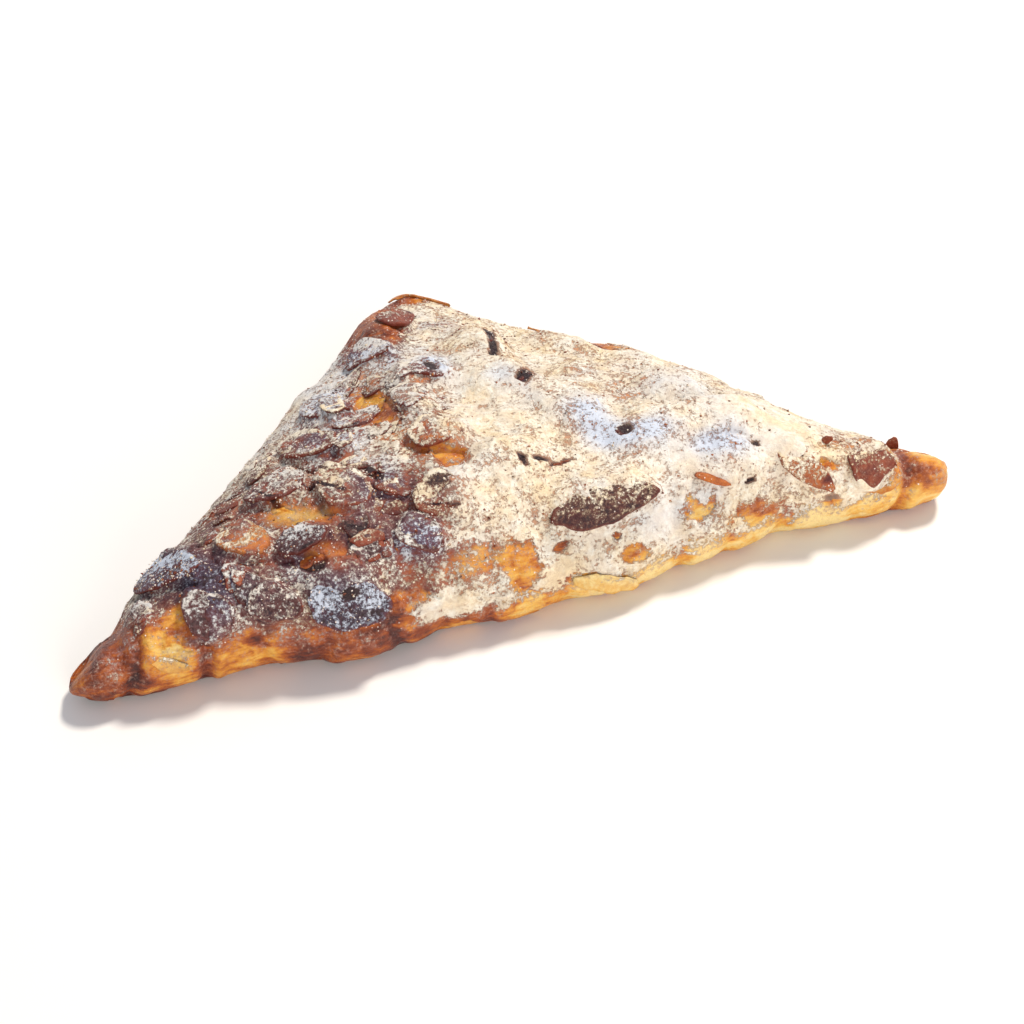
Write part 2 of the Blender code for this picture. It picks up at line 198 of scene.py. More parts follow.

# Darker browned stretches of crust, in the same words, and paler golden ones below zero. The dark ones at the
# pinches by the tips (x about -71.5 and 71.5) and at the crease near x -58.5 are painted shade in those grooves
# as well as browning.
BROWNING_AND_GROOVE_SHADE = [
    (-79, 0, 4, 9, 0, 0.16), (-66, 9, 7, 5, 0, 0.1), (-31, -8, 7, 3, -10, 0.08), (-9, 60, 8, 8, 0, 0.1),
    (71.5, 0, 1.8, 4, 0, 0.25), (74, -3, 5, 3, 0, 0.1), (77, 5, 4, 3, 0, -0.22), (75, -2, 4, 4, 0, 0.12), (-37, 12, 7, 4, -20, -0.4), (-29, 3.5, 4, 3.5, 0, 0.2),
    (-45, 8, 4, 3, 0, -0.3), (-33, 2, 4, 3, 0, -0.3), (-4, -4, 4, 5, 0, -0.08), (18, -7, 19, 4, 0, -0.42),
    (52, -4, 15, 4, 0, -0.45), (-34, -7, 8, 2.5, 0, -0.05), (-61, -2, 6, 6, -40, -0.3), (-50, -4, 8, 3, 0, -0.26), (29, -2, 4, 3, 0, -0.1),
    (40.5, -2, 2.6, 2, 0, 0.1), (64, -3, 6, 3, 0, -0.1), (-17, 38, 3, 6, 20, -0.2), (-42, -5.5, 3, 3, 0, 0.3), (-71.5, -1.5, 4, 4, 0, 0.2),
    (-11, 15, 4, 2, -45, -0.05), (-22, 30, 9, 12, 0, -0.16), (-34, 22, 9, 7, -20, -0.08), (-22, -7, 4, 3, 0, 0.06), (-58.5, -3, 1.5, 5, 0, 0.2), (-12, -3, 5, 4, 0, -0.2),
]  # fmt: skip

# Creases across the fold, each (x at mid height, slant along x for each millimetre up, depth, half width).
FOLD_CREASES = [
    (-69.5, 0.25, 0.9, 1.2), (-57.5, 0.1, 1.1, 1.1), (-48, -0.2, 0.5, 1.5), (-38, 0.3, 0.7, 1.6),
    (-26, -0.2, 0.6, 1.2), (-17, 0.2, 0.5, 1.4), (-9, 0.1, 0.5, 1.2), (4, -0.3, 0.5, 1.5),
    (14, 0.2, 0.4, 1.3), (26, -0.1, 0.6, 1.5), (36, 0.2, 0.5, 1.4), (47, 0.3, 0.7, 1.8),
    (60, -0.2, 0.5, 1.6), (69.5, 0.2, 0.9, 1.3),
]  # fmt: skip


# ---------------------------------------------------------------- noise, worked out on whole arrays
def lattice(cell, seed):
    """A repeatable random number from 0 to 1 for each whole-number place, by mixing its three whole numbers."""
    cell = cell.astype(np.int64).astype(np.uint32)
    mixed = cell[..., 0] * np.uint32(374761393) + cell[..., 1] * np.uint32(668265263)
    mixed = mixed + cell[..., 2] * np.uint32(2246822519) + np.uint32(seed * 3266489917 % 2**32)
    mixed = (mixed ^ (mixed >> np.uint32(15))) * np.uint32(2654435761)
    mixed = (mixed ^ (mixed >> np.uint32(13))) * np.uint32(1274126177)
    mixed = mixed ^ (mixed >> np.uint32(16))
    return (mixed >> np.uint32(8)) / float(2**24)


def noise(points, size, seed=0):
    """Smooth noise from about -1 to 1 with features of the given size: random slopes at the corners of a
    cubic lattice, blended across each cube by the curve 6t^5 - 15t^4 + 10t^3."""
    place = np.asarray(points, float) / size
    cell = np.floor(place)
    inside = place - cell
    blend = inside**3 * (inside * (inside * 6 - 15) + 10)
    total = np.zeros(place.shape[:-1])
    for corner in np.ndindex(2, 2, 2):
        corner = np.array(corner)
        at = cell + corner
        turn = lattice(at, seed) * 2 * math.pi
        height = lattice(at, seed + 71) * 2 - 1
        flat = np.sqrt(1 - height**2)
        slope = np.stack([flat * np.cos(turn), flat * np.sin(turn), height], axis=-1)
        weight = np.prod(np.where(corner, blend, 1 - blend), axis=-1)
        total += weight * np.sum(slope * (inside - corner), axis=-1)
    return total * 1.6


def rough_noise(points, size, layers=4, seed=0, keep=0.5):
    """Layers of noise, each half the size of the one before and keep times as strong."""
    total, strength = 0.0, 1.0
    for layer in range(layers):
        total = total + strength * noise(points, size / 2**layer, seed + 13 * layer)
        strength *= keep
    return total


def leaves(points, size, seed=0):
    """Broken leaves of pastry: each point takes the random height of the nearest of a jittered lattice of
    seeds, so the skin steps where one leaf ends. Gives (height 0 to 1, nearness of the edge 0 to 1)."""
    place = np.asarray(points, float) / size
    cell = np.floor(place)
    nearest = np.full(place.shape[:-1], 9.0)
    second = nearest.copy()
    height = np.zeros_like(nearest)
    for step in np.ndindex(3, 3, 3):
        at = cell + np.array(step) - 1
        seed_place = at + np.stack([lattice(at, seed + k) for k in (1, 2, 3)], axis=-1)
        away = np.linalg.norm(seed_place - place, axis=-1)
        closer = away < nearest
        second = np.where(closer, nearest, np.minimum(second, away))
        height = np.where(closer, lattice(at, seed + 4), height)
        nearest = np.where(closer, away, nearest)
    return height, 1 - np.clip((second - nearest) * 3, 0, 1)


def smooth_step(value, low, high):
    """0 below low, 1 above high, and the curve 3t^2 - 2t^3 between."""
    share = np.clip((value - low) / (high - low), 0, 1)
    return share * share * (3 - 2 * share)


def unrolled(points):
    """The place along Y lengthened by the skin's height, so that sizes hold on the steep folded side too."""
    return points[..., 1] + np.minimum(points[..., 2], skin_height(points[..., 0], points[..., 1]))


def patches(points, rows, edge=0.0):
    """Sum of oval bell curves on the skin, for rows of (x, y, half length, half width, heading, strength).
    With an edge, each is a flat-topped oval instead, its rim blurred over that share of its size."""
    total = np.zeros(points.shape[:-1])
    place = unrolled(points)
    for at_x, at_y, length, width, heading, strength in rows:
        turn = math.radians(heading)
        east, north = points[..., 0] - at_x, place - at_y - skin_height(at_x, at_y)
        along = (east * math.cos(turn) + north * math.sin(turn)) / length
        across = (north * math.cos(turn) - east * math.sin(turn)) / width
        away = along**2 + across**2
        total += strength * (smooth_step(-np.sqrt(away), -1 - edge, edge - 1) if edge else np.exp(-away))
    return total


# ---------------------------------------------------------------- the pastry's shape
def waves(x, rows):
    """Sum of bell curves along X, for rows of (centre, half width, height)."""
    return sum(height * np.exp(-(((x - at) / width) ** 2)) for at, width, height in rows)


def left_to_right(x, pair):
    """Runs evenly from the left tip's value to the right tip's."""
    return pair[0] + (pair[1] - pair[0]) * (x / HALF_FOLD + 1) / 2


def tip_rounding(x):
    """0 at a tip's end and 1 from one tip radius inwards, along a quarter circle."""
    radius = np.where(x < 0, TIP_RADIUS[0], TIP_RADIUS[1])
    inwards = np.clip((HALF_FOLD - np.abs(x)) / radius, 0, 1)
    return np.sqrt(1 - (1 - inwards) ** 2)


def fold_edge(x):
    """Plan of the folded edge: a slight bow with its waves, rounded into the tips."""
    axis = left_to_right(x, TIP_AXIS_Y)
    return axis + (waves(x, FOLD_WAVES) - FOLD_BOW - axis) * tip_rounding(x)


def cut_edge(x):
    """Plan of the two cut edges: straight legs at 45 degrees, a rounded corner, and blunt tips."""
    axis = left_to_right(x, TIP_AXIS_Y)
    leg = DEPTH + CORNER_ROUND - np.hypot(x, CORNER_ROUND)
    blunt = axis + TIP_HALF_WIDTH
    edge = (leg + blunt + np.hypot(leg - blunt, TIP_BLEND)) / 2
    return axis + (edge - axis) * tip_rounding(x)


def crown(x, y):
    """Height of the top skin before its edges are rounded: a slope from fold to lip, a pillow and blisters."""
    front, back = fold_edge(x), cut_edge(x)
    across = np.clip((y - front) / np.maximum(back - front, 1e-6), 0, 1)
    lip = LIP_THICKNESS + waves(x, LIP_WAVES)
    slope = FOLD_THICKNESS + (lip - FOLD_THICKNESS) * across + waves(x, TIP_WAVES)
    from_fold = np.clip((y + CROWN_PAST_FOLD) / (DEPTH + CROWN_PAST_FOLD), 0, 1)
    from_left = np.clip((DEPTH + CROWN_PAST_CUT - y + x) / (2 * DEPTH), 0, 1)
    from_right = np.clip((DEPTH + CROWN_PAST_CUT - y - x) / (2 * DEPTH), 0, 1)
    pillow = (27 * from_fold * from_left * from_right) ** CROWN_FULLNESS
    inside = np.clip(np.minimum(across, 1 - across) / BLISTER_FADE, 0, 1)
    blisters = sum(
        height * np.exp(-(((x - at_x) ** 2 + (y - at_y) ** 2) / width**2))
        for at_x, at_y, width, height in BLISTERS
    )
    return slope + CROWN_RISE * pillow + blisters * inside


def finished_height(x, z):
    """Draws a section's heights together at the tips' ends, and pinches them where the tips are set off."""
    kept = 1 - PINCH_DEPTH * np.exp(-(((np.abs(x) - PINCH_AT) / PINCH_WIDTH) ** 2))
    middle = left_to_right(x, TIP_HEIGHT)
    return (middle + (z - middle) * tip_rounding(x)) * kept


def skin_height(x, y):
    """Height of the top skin over any place of the plan: the crown with its nose, lip and tips rounded."""
    front, back = fold_edge(x), cut_edge(x)
    width = np.maximum(back - front, 1e-6)
    nose = np.clip((y - front) / np.minimum(NOSE_RADIUS, NOSE_SHARE * width), 0, 1)
    lip = np.clip((back - y) / np.minimum(LIP_RADIUS, LIP_SHARE * width), 0, 1)
    top = NOSE_HEIGHT + (crown(x, y) - NOSE_HEIGHT) * np.sqrt(1 - (1 - nose) ** 2)
    top = LIP_HEIGHT + (top - LIP_HEIGHT) * np.sqrt(1 - (1 - lip) ** 2)
    return finished_height(x, top)


def section_places():
    """Places of the sections along X: crowded round each tip's quarter circle, even in between."""
    left, right = HALF_FOLD - TIP_RADIUS[0], HALF_FOLD - TIP_RADIUS[1]
    turn = np.linspace(0, math.pi / 2, TIP_SECTIONS + 1)[1:]
    return np.concatenate(
        [
            (-left - TIP_RADIUS[0] * np.sin(turn))[::-1],
            np.linspace(-left, right, SECTIONS),
            right + TIP_RADIUS[1] * np.sin(turn),
        ]
    )


def sections(x, finer):
    """Loops of points round the pastry, one loop for each x: nose, crown and lip above, lip, base and nose
    below. Gives the grid of points and the number of rows that make the upper side."""
    x = x[:, None]
    nose_rows, crown_rows, lip_rows = [round(finer * rows) for rows in (NOSE_ROWS, CROWN_ROWS, LIP_ROWS)]
    front, back = fold_edge(x), cut_edge(x)
    width = back - front
    nose, nose_under = np.minimum(NOSE_RADIUS, NOSE_SHARE * width), np.minimum(NOSE_UNDERCUT, NOSE_SHARE * width)
    lip, lip_under = np.minimum(LIP_RADIUS, LIP_SHARE * width), np.minimum(LIP_UNDERCUT, LIP_SHARE * width)

    def quarter(rows):
        return math.pi / 2 * np.arange(rows)[None, :] / rows

    turn = quarter(nose_rows)
    y_nose = front + nose * (1 - np.cos(turn))
    z_nose = NOSE_HEIGHT + (crown(x, y_nose) - NOSE_HEIGHT) * np.sin(turn)
    y_crown = front + nose + (width - nose - lip) * np.arange(crown_rows)[None, :] / crown_rows
    z_crown = crown(x, y_crown)
    turn = quarter(lip_rows)
    y_lip = back - lip * (1 - np.sin(turn))
    z_lip = LIP_HEIGHT + (crown(x, y_lip) - LIP_HEIGHT) * np.cos(turn)
    turn = quarter(UNDER_LIP_ROWS)
    y_under = back - lip_under * (1 - np.cos(turn))
    z_under = LIP_HEIGHT * (1 - np.sin(turn)) + 0 * x
    y_base = back - lip_under - (width - lip_under - nose_under) * np.arange(BASE_ROWS)[None, :] / BASE_ROWS
    z_base = 0 * y_base
    turn = quarter(UNDER_NOSE_ROWS)
    y_back = front + nose_under * (1 - np.sin(turn))
    z_back = NOSE_HEIGHT * (1 - np.cos(turn)) + 0 * x
    y = np.concatenate([y_nose, y_crown, y_lip, y_under, y_base, y_back], axis=1)
    z = np.concatenate([z_nose, z_crown, z_lip, z_under, z_base, z_back], axis=1)
    points = np.stack([np.broadcast_to(x, y.shape), y, finished_height(x, z)], axis=-1)
    return points, nose_rows + crown_rows + lip_rows


def loop_normals(points):
    """Outward normals of a grid of closed loops, from the differences between neighbouring points."""
    along = np.gradient(points, axis=0)
    around = np.roll(points, -1, axis=1) - np.roll(points, 1, axis=1)
    normal = np.cross(along, around)
    length = np.linalg.norm(normal, axis=-1, keepdims=True)
    return normal / np.maximum(length, 1e-9)


def fold_creases(points):
    """Creases across the folded side: below 0 in the crease, a little above on the swelling beside it."""
    x, y, z = points[..., 0], points[..., 1], points[..., 2]
    total = 0 * x
    for at, slant, depth, width in FOLD_CREASES:
        off = (x - at - slant * (z - NOSE_HEIGHT) + 0.5 * noise(points, 6, 3)) / width
        total += depth * (0.45 * np.exp(-((off - 1.7) ** 2)) - np.exp(-(off**2)))
    front, back = fold_edge(x), cut_edge(x)
    return total * np.clip(1 - (y - front) / 11, 0, 1) * smooth_step(back - front, 2, 9)


def pastry_leaves(points):
    """The broken leaves of the baked skin, (height, nearness of the edge)."""
    return leaves(points * [1, 1, 1.6] + 0.8 * rough_noise(points, 4, 2, seed=5)[..., None], 6.5, seed=9)


def relief(points, normal, leaf):
    """How far the baked skin stands off its smooth shape: broken leaves and blisters on top, creases across
    the fold, and the laminations' edges at the sides. The underside only gets shallow pits."""
    x, y, z = points[..., 0], points[..., 1], points[..., 2]
    front = fold_edge(x)
    rounding = tip_rounding(x)
    height, edge = leaf
    top = 0.30 * rough_noise(points, 9, 5, seed=1) + 0.5 * (height - 0.5) - 0.12 * edge
    top = top + 0.10 * rough_noise(points * [0.5, 1, 1], 1.6, 2, seed=2)
    side = np.clip(1 - np.abs(normal[..., 2]) * 1.3, 0, 1)
    layer = np.sin(2 * math.pi * (z + 0.9 * rough_noise(points * [1, 1, 0.3], 9, 3, seed=21)) / 1.25)
    laminated = side * smooth_step(y, front + 6, front + 12) * (z < 5) + 0.25 * side * np.exp(-(((x - 14) / 14) ** 2)) * (z < 7)
    under = smooth_step(-normal[..., 2], 0.6, 0.95) * (z < 1)
    shape = top * (1 - 0.6 * side) + fold_creases(points) + 0.16 * layer * laminated
    pits = -0.12 * np.abs(rough_noise(points, 5, 3, seed=31))
    return (shape * (1 - under) + pits * under) * smooth_step(rounding, 0.05, 0.6)


# ---------------------------------------------------------------- meshes
def new_mesh(name, points, faces):
    """A mesh from an array of points in metres and a list of face arrays, each of triangles or of quads."""
    mesh = bpy.data.meshes.new(name)
    corners = np.concatenate([f.ravel() for f in faces]).astype(np.int32)
    totals = np.concatenate([np.full(len(f), f.shape[1]) for f in faces]).astype(np.int32)
    mesh.vertices.add(len(points))
    mesh.vertices.foreach_set("co", points.astype(np.float32).ravel())
    mesh.loops.add(len(corners))
    mesh.loops.foreach_set("vertex_index", corners)
    mesh.polygons.add(len(totals))
    mesh.polygons.foreach_set("loop_start", np.concatenate([[0], np.cumsum(totals)[:-1]]).astype(np.int32))
    mesh.polygons.foreach_set("loop_total", totals)
    mesh.update(calc_edges=True)
    mesh.validate()
    return mesh


def volume(points, faces):
    """Six times the space inside the faces, above zero when they face outwards."""
    total = 0.0
    for f in faces:
        for k in range(1, f.shape[1] - 1):
            a, b, c = points[f[:, 0]], points[f[:, k]], points[f[:, k + 1]]
            total += np.einsum("ij,ij->", a, np.cross(b, c))
    return total


def add_piece(name, points, faces, material, values=None, smooth=True, flat_ends=False, replaces=()):
    """Adds a finished piece to the scene, its faces turned outwards, with its painted values as attributes.
    With flat ends, only the first group of faces is shaded smooth."""
    if volume(points, faces) < 0:
        faces = [f[:, ::-1] for f in faces]
    mesh = new_mesh(name, (points - [0, CENTRE_Y, 0]) * MM, faces)
    if smooth:
        mesh.shade_smooth()
    if flat_ends:
        mesh.polygons.foreach_set("use_smooth", np.arange(len(mesh.polygons)) < len(faces[0]))
    for key, value in (values or {}).items():
        attribute = mesh.attributes.new(key, "FLOAT", "POINT")
        attribute.data.foreach_set("value", np.asarray(value, np.float32).ravel())
    mesh.materials.append(material)
    piece = bpy.data.objects.new(name, mesh)
    bpy.context.scene.collection.objects.link(piece)
    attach(piece, "root")
    if replaces:
        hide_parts(*replaces)
    return piece


def add_joined(name, shapes, material):
    """Adds many shapes, each (points, groups of faces, painted values), as one piece."""
    firsts = np.cumsum([0] + [len(points) for points, _, _ in shapes[:-1]])
    faces = [np.concatenate([f[k] + first for (_, f, _), first in zip(shapes, firsts)]) for k in range(len(shapes[0][1]))]
    values = {key: np.concatenate([value[key] for _, _, value in shapes]) for key in shapes[0][2]}
    return add_piece(name, np.concatenate([points for points, _, _ in shapes]), faces, material, values)


def loop_faces(loops, around):
    """Faces of a grid of closed loops, and the fans that close its two ends on one point each."""
    index = np.arange(loops * around).reshape(loops, around)
    following = np.roll(index, -1, axis=1)
    quads = np.stack([index[:-1], following[:-1], following[1:], index[1:]], axis=-1).reshape(-1, 4)
    first, last = loops * around, loops * around + 1
    start = np.stack([following[0], index[0], np.full(around, first)], axis=-1)
    end = np.stack([index[-1], following[-1], np.full(around, last)], axis=-1)
    return [quads, start, end]


def close_ends(grid):
    """A grid of loops as one list of points, with the middle of the first and of the last loop added."""
    ends = [grid[0].mean(axis=0), grid[-1].mean(axis=0)]
    return np.concatenate([grid.reshape(-1, grid.shape[-1]), ends])


# ---------------------------------------------------------------- almond slices
class Slice:
    """One slice of almond: its middle, its three directions (point, side and upper face), size, bend and looks.

    The bend holds the six numbers of the slice's middle surface, w = a + bu + cv + du^2 + euv + fv^2.
    """

    def __init__(self, name, centre, axes, length, width, bend, looks, seed, thickness=0.8):
        self.name, self.centre, self.axes, self.length, self.width = name, centre, axes, length, width
        self.bend, self.looks, self.seed, self.thickness = bend, looks, seed, thickness
        self.shown, self.dust, self.dark, self.bluish_sugar_and_shade = looks

    def middle(self, u, v):
        terms = np.stack([u * 0 + 1, u, v, u * u, u * v, v * v], axis=-1)
        return terms @ self.bend

    def reach(self, turn):
        """Distance from the middle to the rim in each direction: an oval with a blunt butt and a tapered
        point, nibbled by noise, and snapped off straight on one side if the seed says so."""
        u = self.length / 2 * np.cos(turn)
        v = self.width / 2 * np.sin(turn) * (1 - 0.28 * np.cos(turn))
        oval = np.hypot(u, v)
        ring = np.stack([np.cos(turn) * 2, np.sin(turn) * 2, turn * 0 + self.seed * 3.7], axis=-1)
        ragged = 0.24 if self.name == "chip" else 0.13
        nibbled = oval * (1 + ragged * rough_noise(ring, 1.3, 4, seed=self.seed))
        random = np.random.default_rng(self.seed)
        snapped, way, share = random.random(), random.uniform(0, 2 * math.pi), random.uniform(0.55, 0.9)
        if snapped < 0.8 and self.name == "chip":
            towards = np.maximum(np.cos(np.arctan2(v, u) - way), 1e-3)
            nibbled = np.minimum(nibbled, share * self.width / 2 * 1.1 / towards)
        return nibbled, np.arctan2(v, u)

    def share_out(self, u, v):
        """How far out each place lies, from 0 in the middle to 1 on the rim."""
        turn = np.linspace(-math.pi, math.pi, 129)
        reach, way = self.reach(turn)
        order = np.argsort(way)
        at = np.arctan2(v, u)
        return np.hypot(u, v) / np.interp(at, way[order], reach[order], period=2 * math.pi)

    def locate(self, points):
        """Places of the plan in the slice's own directions."""
        local = (points - self.centre) @ self.axes.T
        return local[..., 0], local[..., 1], local[..., 2]

    def backwards(self, points):
        """How far back each place is on the slice, up the slope: -1 at its front rim and 1 at its back rim."""
        reach = np.array([self.length, self.width]) / 2 * (self.axes[:2, 1] + self.axes[:2, 2])
        away = points - self.centre
        return np.clip((away[..., 1] + away[..., 2]) / np.hypot(*reach), -1, 1)


def slice_from_node(name, seed):
    """Reads a CAD slice: its middle, its directions from the spread of its points, and its bend by least squares."""
    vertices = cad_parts[name].data.vertices
    points = np.zeros(len(vertices) * 3, np.float32)
    vertices.foreach_get("co", points)
    points = np.unique(points.reshape(-1, 3).round(7), axis=0).astype(float) / MM + [0, CENTRE_Y, 0]
    middle = (points.min(axis=0) + points.max(axis=0)) / 2
    _, _, axes = np.linalg.svd(points - points.mean(axis=0), full_matrices=False)
    if axes[2, 2] < 0:
        axes[2] *= -1
    local = (points - middle) @ axes.T
    along = local[:, 0]
    broad = np.abs(local[along > 0, 1]).mean() > np.abs(local[along < 0, 1]).mean()
    if broad:
        axes[0] *= -1
    axes[1] = np.cross(axes[2], axes[0])
    local = (points - middle) @ axes.T
    middle = middle + ((local.min(axis=0) + local.max(axis=0)) / 2) @ axes
    local = (points - middle) @ axes.T
    u, v, w = local.T
    terms = np.stack([u * 0 + 1, u, v, u * u, u * v, v * v], axis=-1)
    bend = np.linalg.lstsq(terms, w, rcond=None)[0]
    return Slice(name, middle, axes, np.ptp(u), np.ptp(v) * NARROWER.get(name, 1), bend, SLICE_LOOKS[name], seed)


def height_on(points, up, slices):
    """How high the slices stand over places of the skin, in the direction up, which slice lies uppermost
    there, how many millimetres its rim is away, and how far back on the slice the place is (-1 to 1)."""
    raised = np.zeros(points.shape[:-1])
    uppermost = np.full(points.shape[:-1], -1)
    to_rim = np.full(points.shape[:-1], 9.0)
    behind = np.zeros(points.shape[:-1])
    for number, piece in enumerate(slices):
        reach = piece.length * 0.65
        near = (np.abs(points[..., 0] - piece.centre[0]) < reach) & (np.abs(points[..., 1] - piece.centre[1]) < reach)
        if not near.any():
            continue
        u, v, w = piece.locate(points[near])
        out = piece.share_out(u, v)
        facing = (up[near] if up.ndim > 1 else up) @ piece.axes[2]
        top = (piece.middle(u, v) + piece.thickness / 2 - w) / np.maximum(facing, 0.6)
        higher = (out < 1) & (top > raised[near]) & (top < 6) & (facing > 0.4)
        raised[near] = np.where(higher, top, raised[near])
        uppermost[near] = np.where(higher, number, uppermost[near])
        from_rim = np.hypot(u, v) * (1 / np.maximum(out, 1e-3) - 1)
        to_rim[near] = np.where(higher, from_rim, to_rim[near])
        behind[near] = np.where(higher, piece.backwards(points[near]), behind[near])
    return raised, uppermost, to_rim, behind


def lay_chip(slices, x, y, length, width, heading, pitch, looks, seed, sink=0.2, thickness=0.7):
    """A further slice or a broken bit, laid on the skin and on the slices already there, and sunk a little."""
    step = 1.5
    rise_x = (skin_height(x + step, y) - skin_height(x - step, y)) / (2 * step)
    rise_y = (skin_height(x, y + step) - skin_height(x, y - step)) / (2 * step)
    up = np.array([-rise_x, -rise_y, 1.0])
    up /= np.linalg.norm(up)
    point = np.array([math.cos(math.radians(heading)), math.sin(math.radians(heading)), 0.0])
    point -= up * (point @ up)
    point /= np.linalg.norm(point)
    axes = np.stack([point, np.cross(up, point), up])
    centre = np.array([x, y, float(skin_height(x, y))])
    u, v = np.meshgrid(np.linspace(-0.5, 0.5, 5) * length * 0.8, np.linspace(-0.5, 0.5, 5) * width * 0.8)
    u, v = u.ravel(), v.ravel()
    spots = centre + u[:, None] * axes[0] + v[:, None] * axes[1]
    ground = skin_height(spots[:, 0], spots[:, 1]) - spots[:, 2]
    spots[:, 2] += ground
    raised = height_on(spots, up, slices)[0]
    drop = ground * up[2]
    terms = np.stack([u * 0 + 1, u, v, u * u, u * v, v * v], axis=-1)
    bend = np.linalg.lstsq(terms, drop, rcond=None)[0] * 0.8
    tilt = math.tan(math.radians(pitch))
    bend[1] += tilt
    bend[0] += tilt * length * 0.3 + np.percentile(raised, 70) + thickness / 2 - sink
    slices.append(Slice("chip", centre, axes, length, width, bend, looks, seed, thickness))


def slice_grid(piece, rings, turns):
    """The slice as a closed grid of rings: from the middle of its upper face out, round its rim, and back
    below. Each ring is (share of the way out, share of the thickness)."""
    turn = np.linspace(0, 2 * math.pi, turns, endpoint=False)
    reach, way = piece.reach(turn)
    share = np.array([r[0] for r in rings])[:, None]
    through = np.array([r[1] for r in rings])[:, None]
    u, v = share * reach * np.cos(way), share * reach * np.sin(way)
    ripple = 0.10 * noise(np.stack([u, v, u * 0 + piece.seed * 7.1], axis=-1), 2.2, piece.seed)
    swell = 1 + 0.25 * noise(np.stack([u, v, u * 0 + piece.seed * 3.3], axis=-1), 4, piece.seed + 5)
    ring = np.stack([np.cos(turn) * 2, np.sin(turn) * 2, turn * 0 + piece.seed * 5.3], axis=-1)
    curl = 0.4 * share**4 * noise(ring, 1.6, piece.seed + 9)
    w = piece.middle(u, v) + ripple + curl + (through - 0.5) * piece.thickness * swell
    local = np.stack([u, v, w], axis=-1)
    return piece.centre + local @ piece.axes, np.broadcast_to(share, u.shape), np.broadcast_to(through, u.shape)


def slice_mesh(piece, rings, turns):
    """Points, faces and painted values of one slice."""
    grid, share, through = slice_grid(piece, rings, turns)
    points = close_ends(grid)
    out = np.concatenate([share.ravel(), [0, 0]])
    upper = np.concatenate([through.ravel(), [1, 0]])
    # Painted shade: within the hollows the slice is painted darker and bare of sugar, for burnt almond and shade.
    burnt_and_shaded = np.clip(patches(points, SHADED_HOLLOWS, edge=0.4), 0, 1)
    dust = upper * (piece.dust + 0.22 * piece.backwards(points)) - 0.9 * burnt_and_shaded
    values = {"out": out, "dark": piece.dark + burnt_and_shaded, "dust": dust, "bluish_sugar_and_shade": piece.bluish_sugar_and_shade * (1 - burnt_and_shaded)}
    return points, loop_faces(len(rings), turns), values


WHOLE_RINGS = (
    [(share, 1.0) for share in (0.12, 0.25, 0.38, 0.5, 0.62, 0.73, 0.83, 0.91)]
    + [(0.965, 0.93), (0.995, 0.72), (1.0, 0.45), (0.985, 0.2), (0.95, 0.06)]
    + [(share, 0.0) for share in (0.85, 0.6, 0.3)]
)
CHIP_RINGS = (
    [(share, 1.0) for share in (0.25, 0.5, 0.72, 0.88)]
    + [(0.98, 0.85), (1.0, 0.5), (0.97, 0.12)]
    + [(share, 0.0) for share in (0.8, 0.4)]
)


# ---------------------------------------------------------------- materials
def linear(hex_colour):
    """An sRGB hex colour as linear red, green, blue and alpha."""
    parts = [int(hex_colour[i : i + 2], 16) / 255 for i in (1, 3, 5)]
    return (*[c / 12.92 if c <= 0.04045 else ((c + 0.055) / 1.055) ** 2.4 for c in parts], 1.0)


def node(tree, kind, inputs=None, **settings):
    """Adds a node with its settings, and fills its inputs with values or with links from other sockets."""
    made = tree.nodes.new(kind)
    for key, value in settings.items():
        setattr(made, key, value)
    for key, value in (inputs or {}).items():
        if isinstance(value, bpy.types.NodeSocket):
            tree.links.new(value, made.inputs[key])
        else:
            made.inputs[key].default_value = value
    return made


def new_material(name):
    material = bpy.data.materials.new(name)
    material.use_nodes = True
    tree = material.node_tree
    tree.nodes.clear()
    shader = node(tree, "ShaderNodeBsdfPrincipled")
    output = node(tree, "ShaderNodeOutputMaterial")
    tree.links.new(shader.outputs[0], output.inputs[0])
    return material, tree, shader


def grain(tree, size, detail=2.0, roughness=0.6):
    """Noise on Object coordinates, 0 to 1, with features of so many millimetres."""
    place = node(tree, "ShaderNodeTexCoord").outputs["Object"]
    inputs = {"Vector": place, "Scale": 1 / (size * MM), "Detail": detail, "Roughness": roughness}
    return node(tree, "ShaderNodeTexNoise", inputs).outputs[0]


def fibres(tree, size):
    """Noise drawn out along the dough, 0 to 1: the streaks of its leaves, so many millimetres across."""
    place = node(tree, "ShaderNodeTexCoord").outputs["Object"]
    drawn = node(tree, "ShaderNodeMapping", {"Vector": place, "Scale": (0.28, 1.0, 1.3), "Rotation": (0.0, 0.0, 0.3)}).outputs[0]
    inputs = {"Vector": drawn, "Scale": 1 / (size * MM), "Detail": 5.0, "Roughness": 0.65, "Distortion": 0.6}
    return node(tree, "ShaderNodeTexNoise", inputs).outputs[0]


def painted(tree, key):
    """One of the piece's painted values."""
    return node(tree, "ShaderNodeAttribute", attribute_name=key).outputs["Fac"]


def maths(tree, operation, first, second=0.0, clamp=False):
    return node(tree, "ShaderNodeMath", {0: first, 1: second}, operation=operation, use_clamp=clamp).outputs[0]


def mixed(tree, share, first, second):
    """A colour between two others."""
    made = node(tree, "ShaderNodeMix", {0: share, 6: first, 7: second}, data_type="RGBA")
    return made.outputs[2]


def ramp(tree, value, stops):
    """A colour read from stops of (place, hex colour)."""
    made = node(tree, "ShaderNodeValToRGB", {0: value})
    band = made.color_ramp
    while len(band.elements) < len(stops):
        band.elements.new(0.5)
    for element, (place, colour) in zip(band.elements, stops):
        element.position = place
        element.color = linear(colour)
    return made.outputs[0]


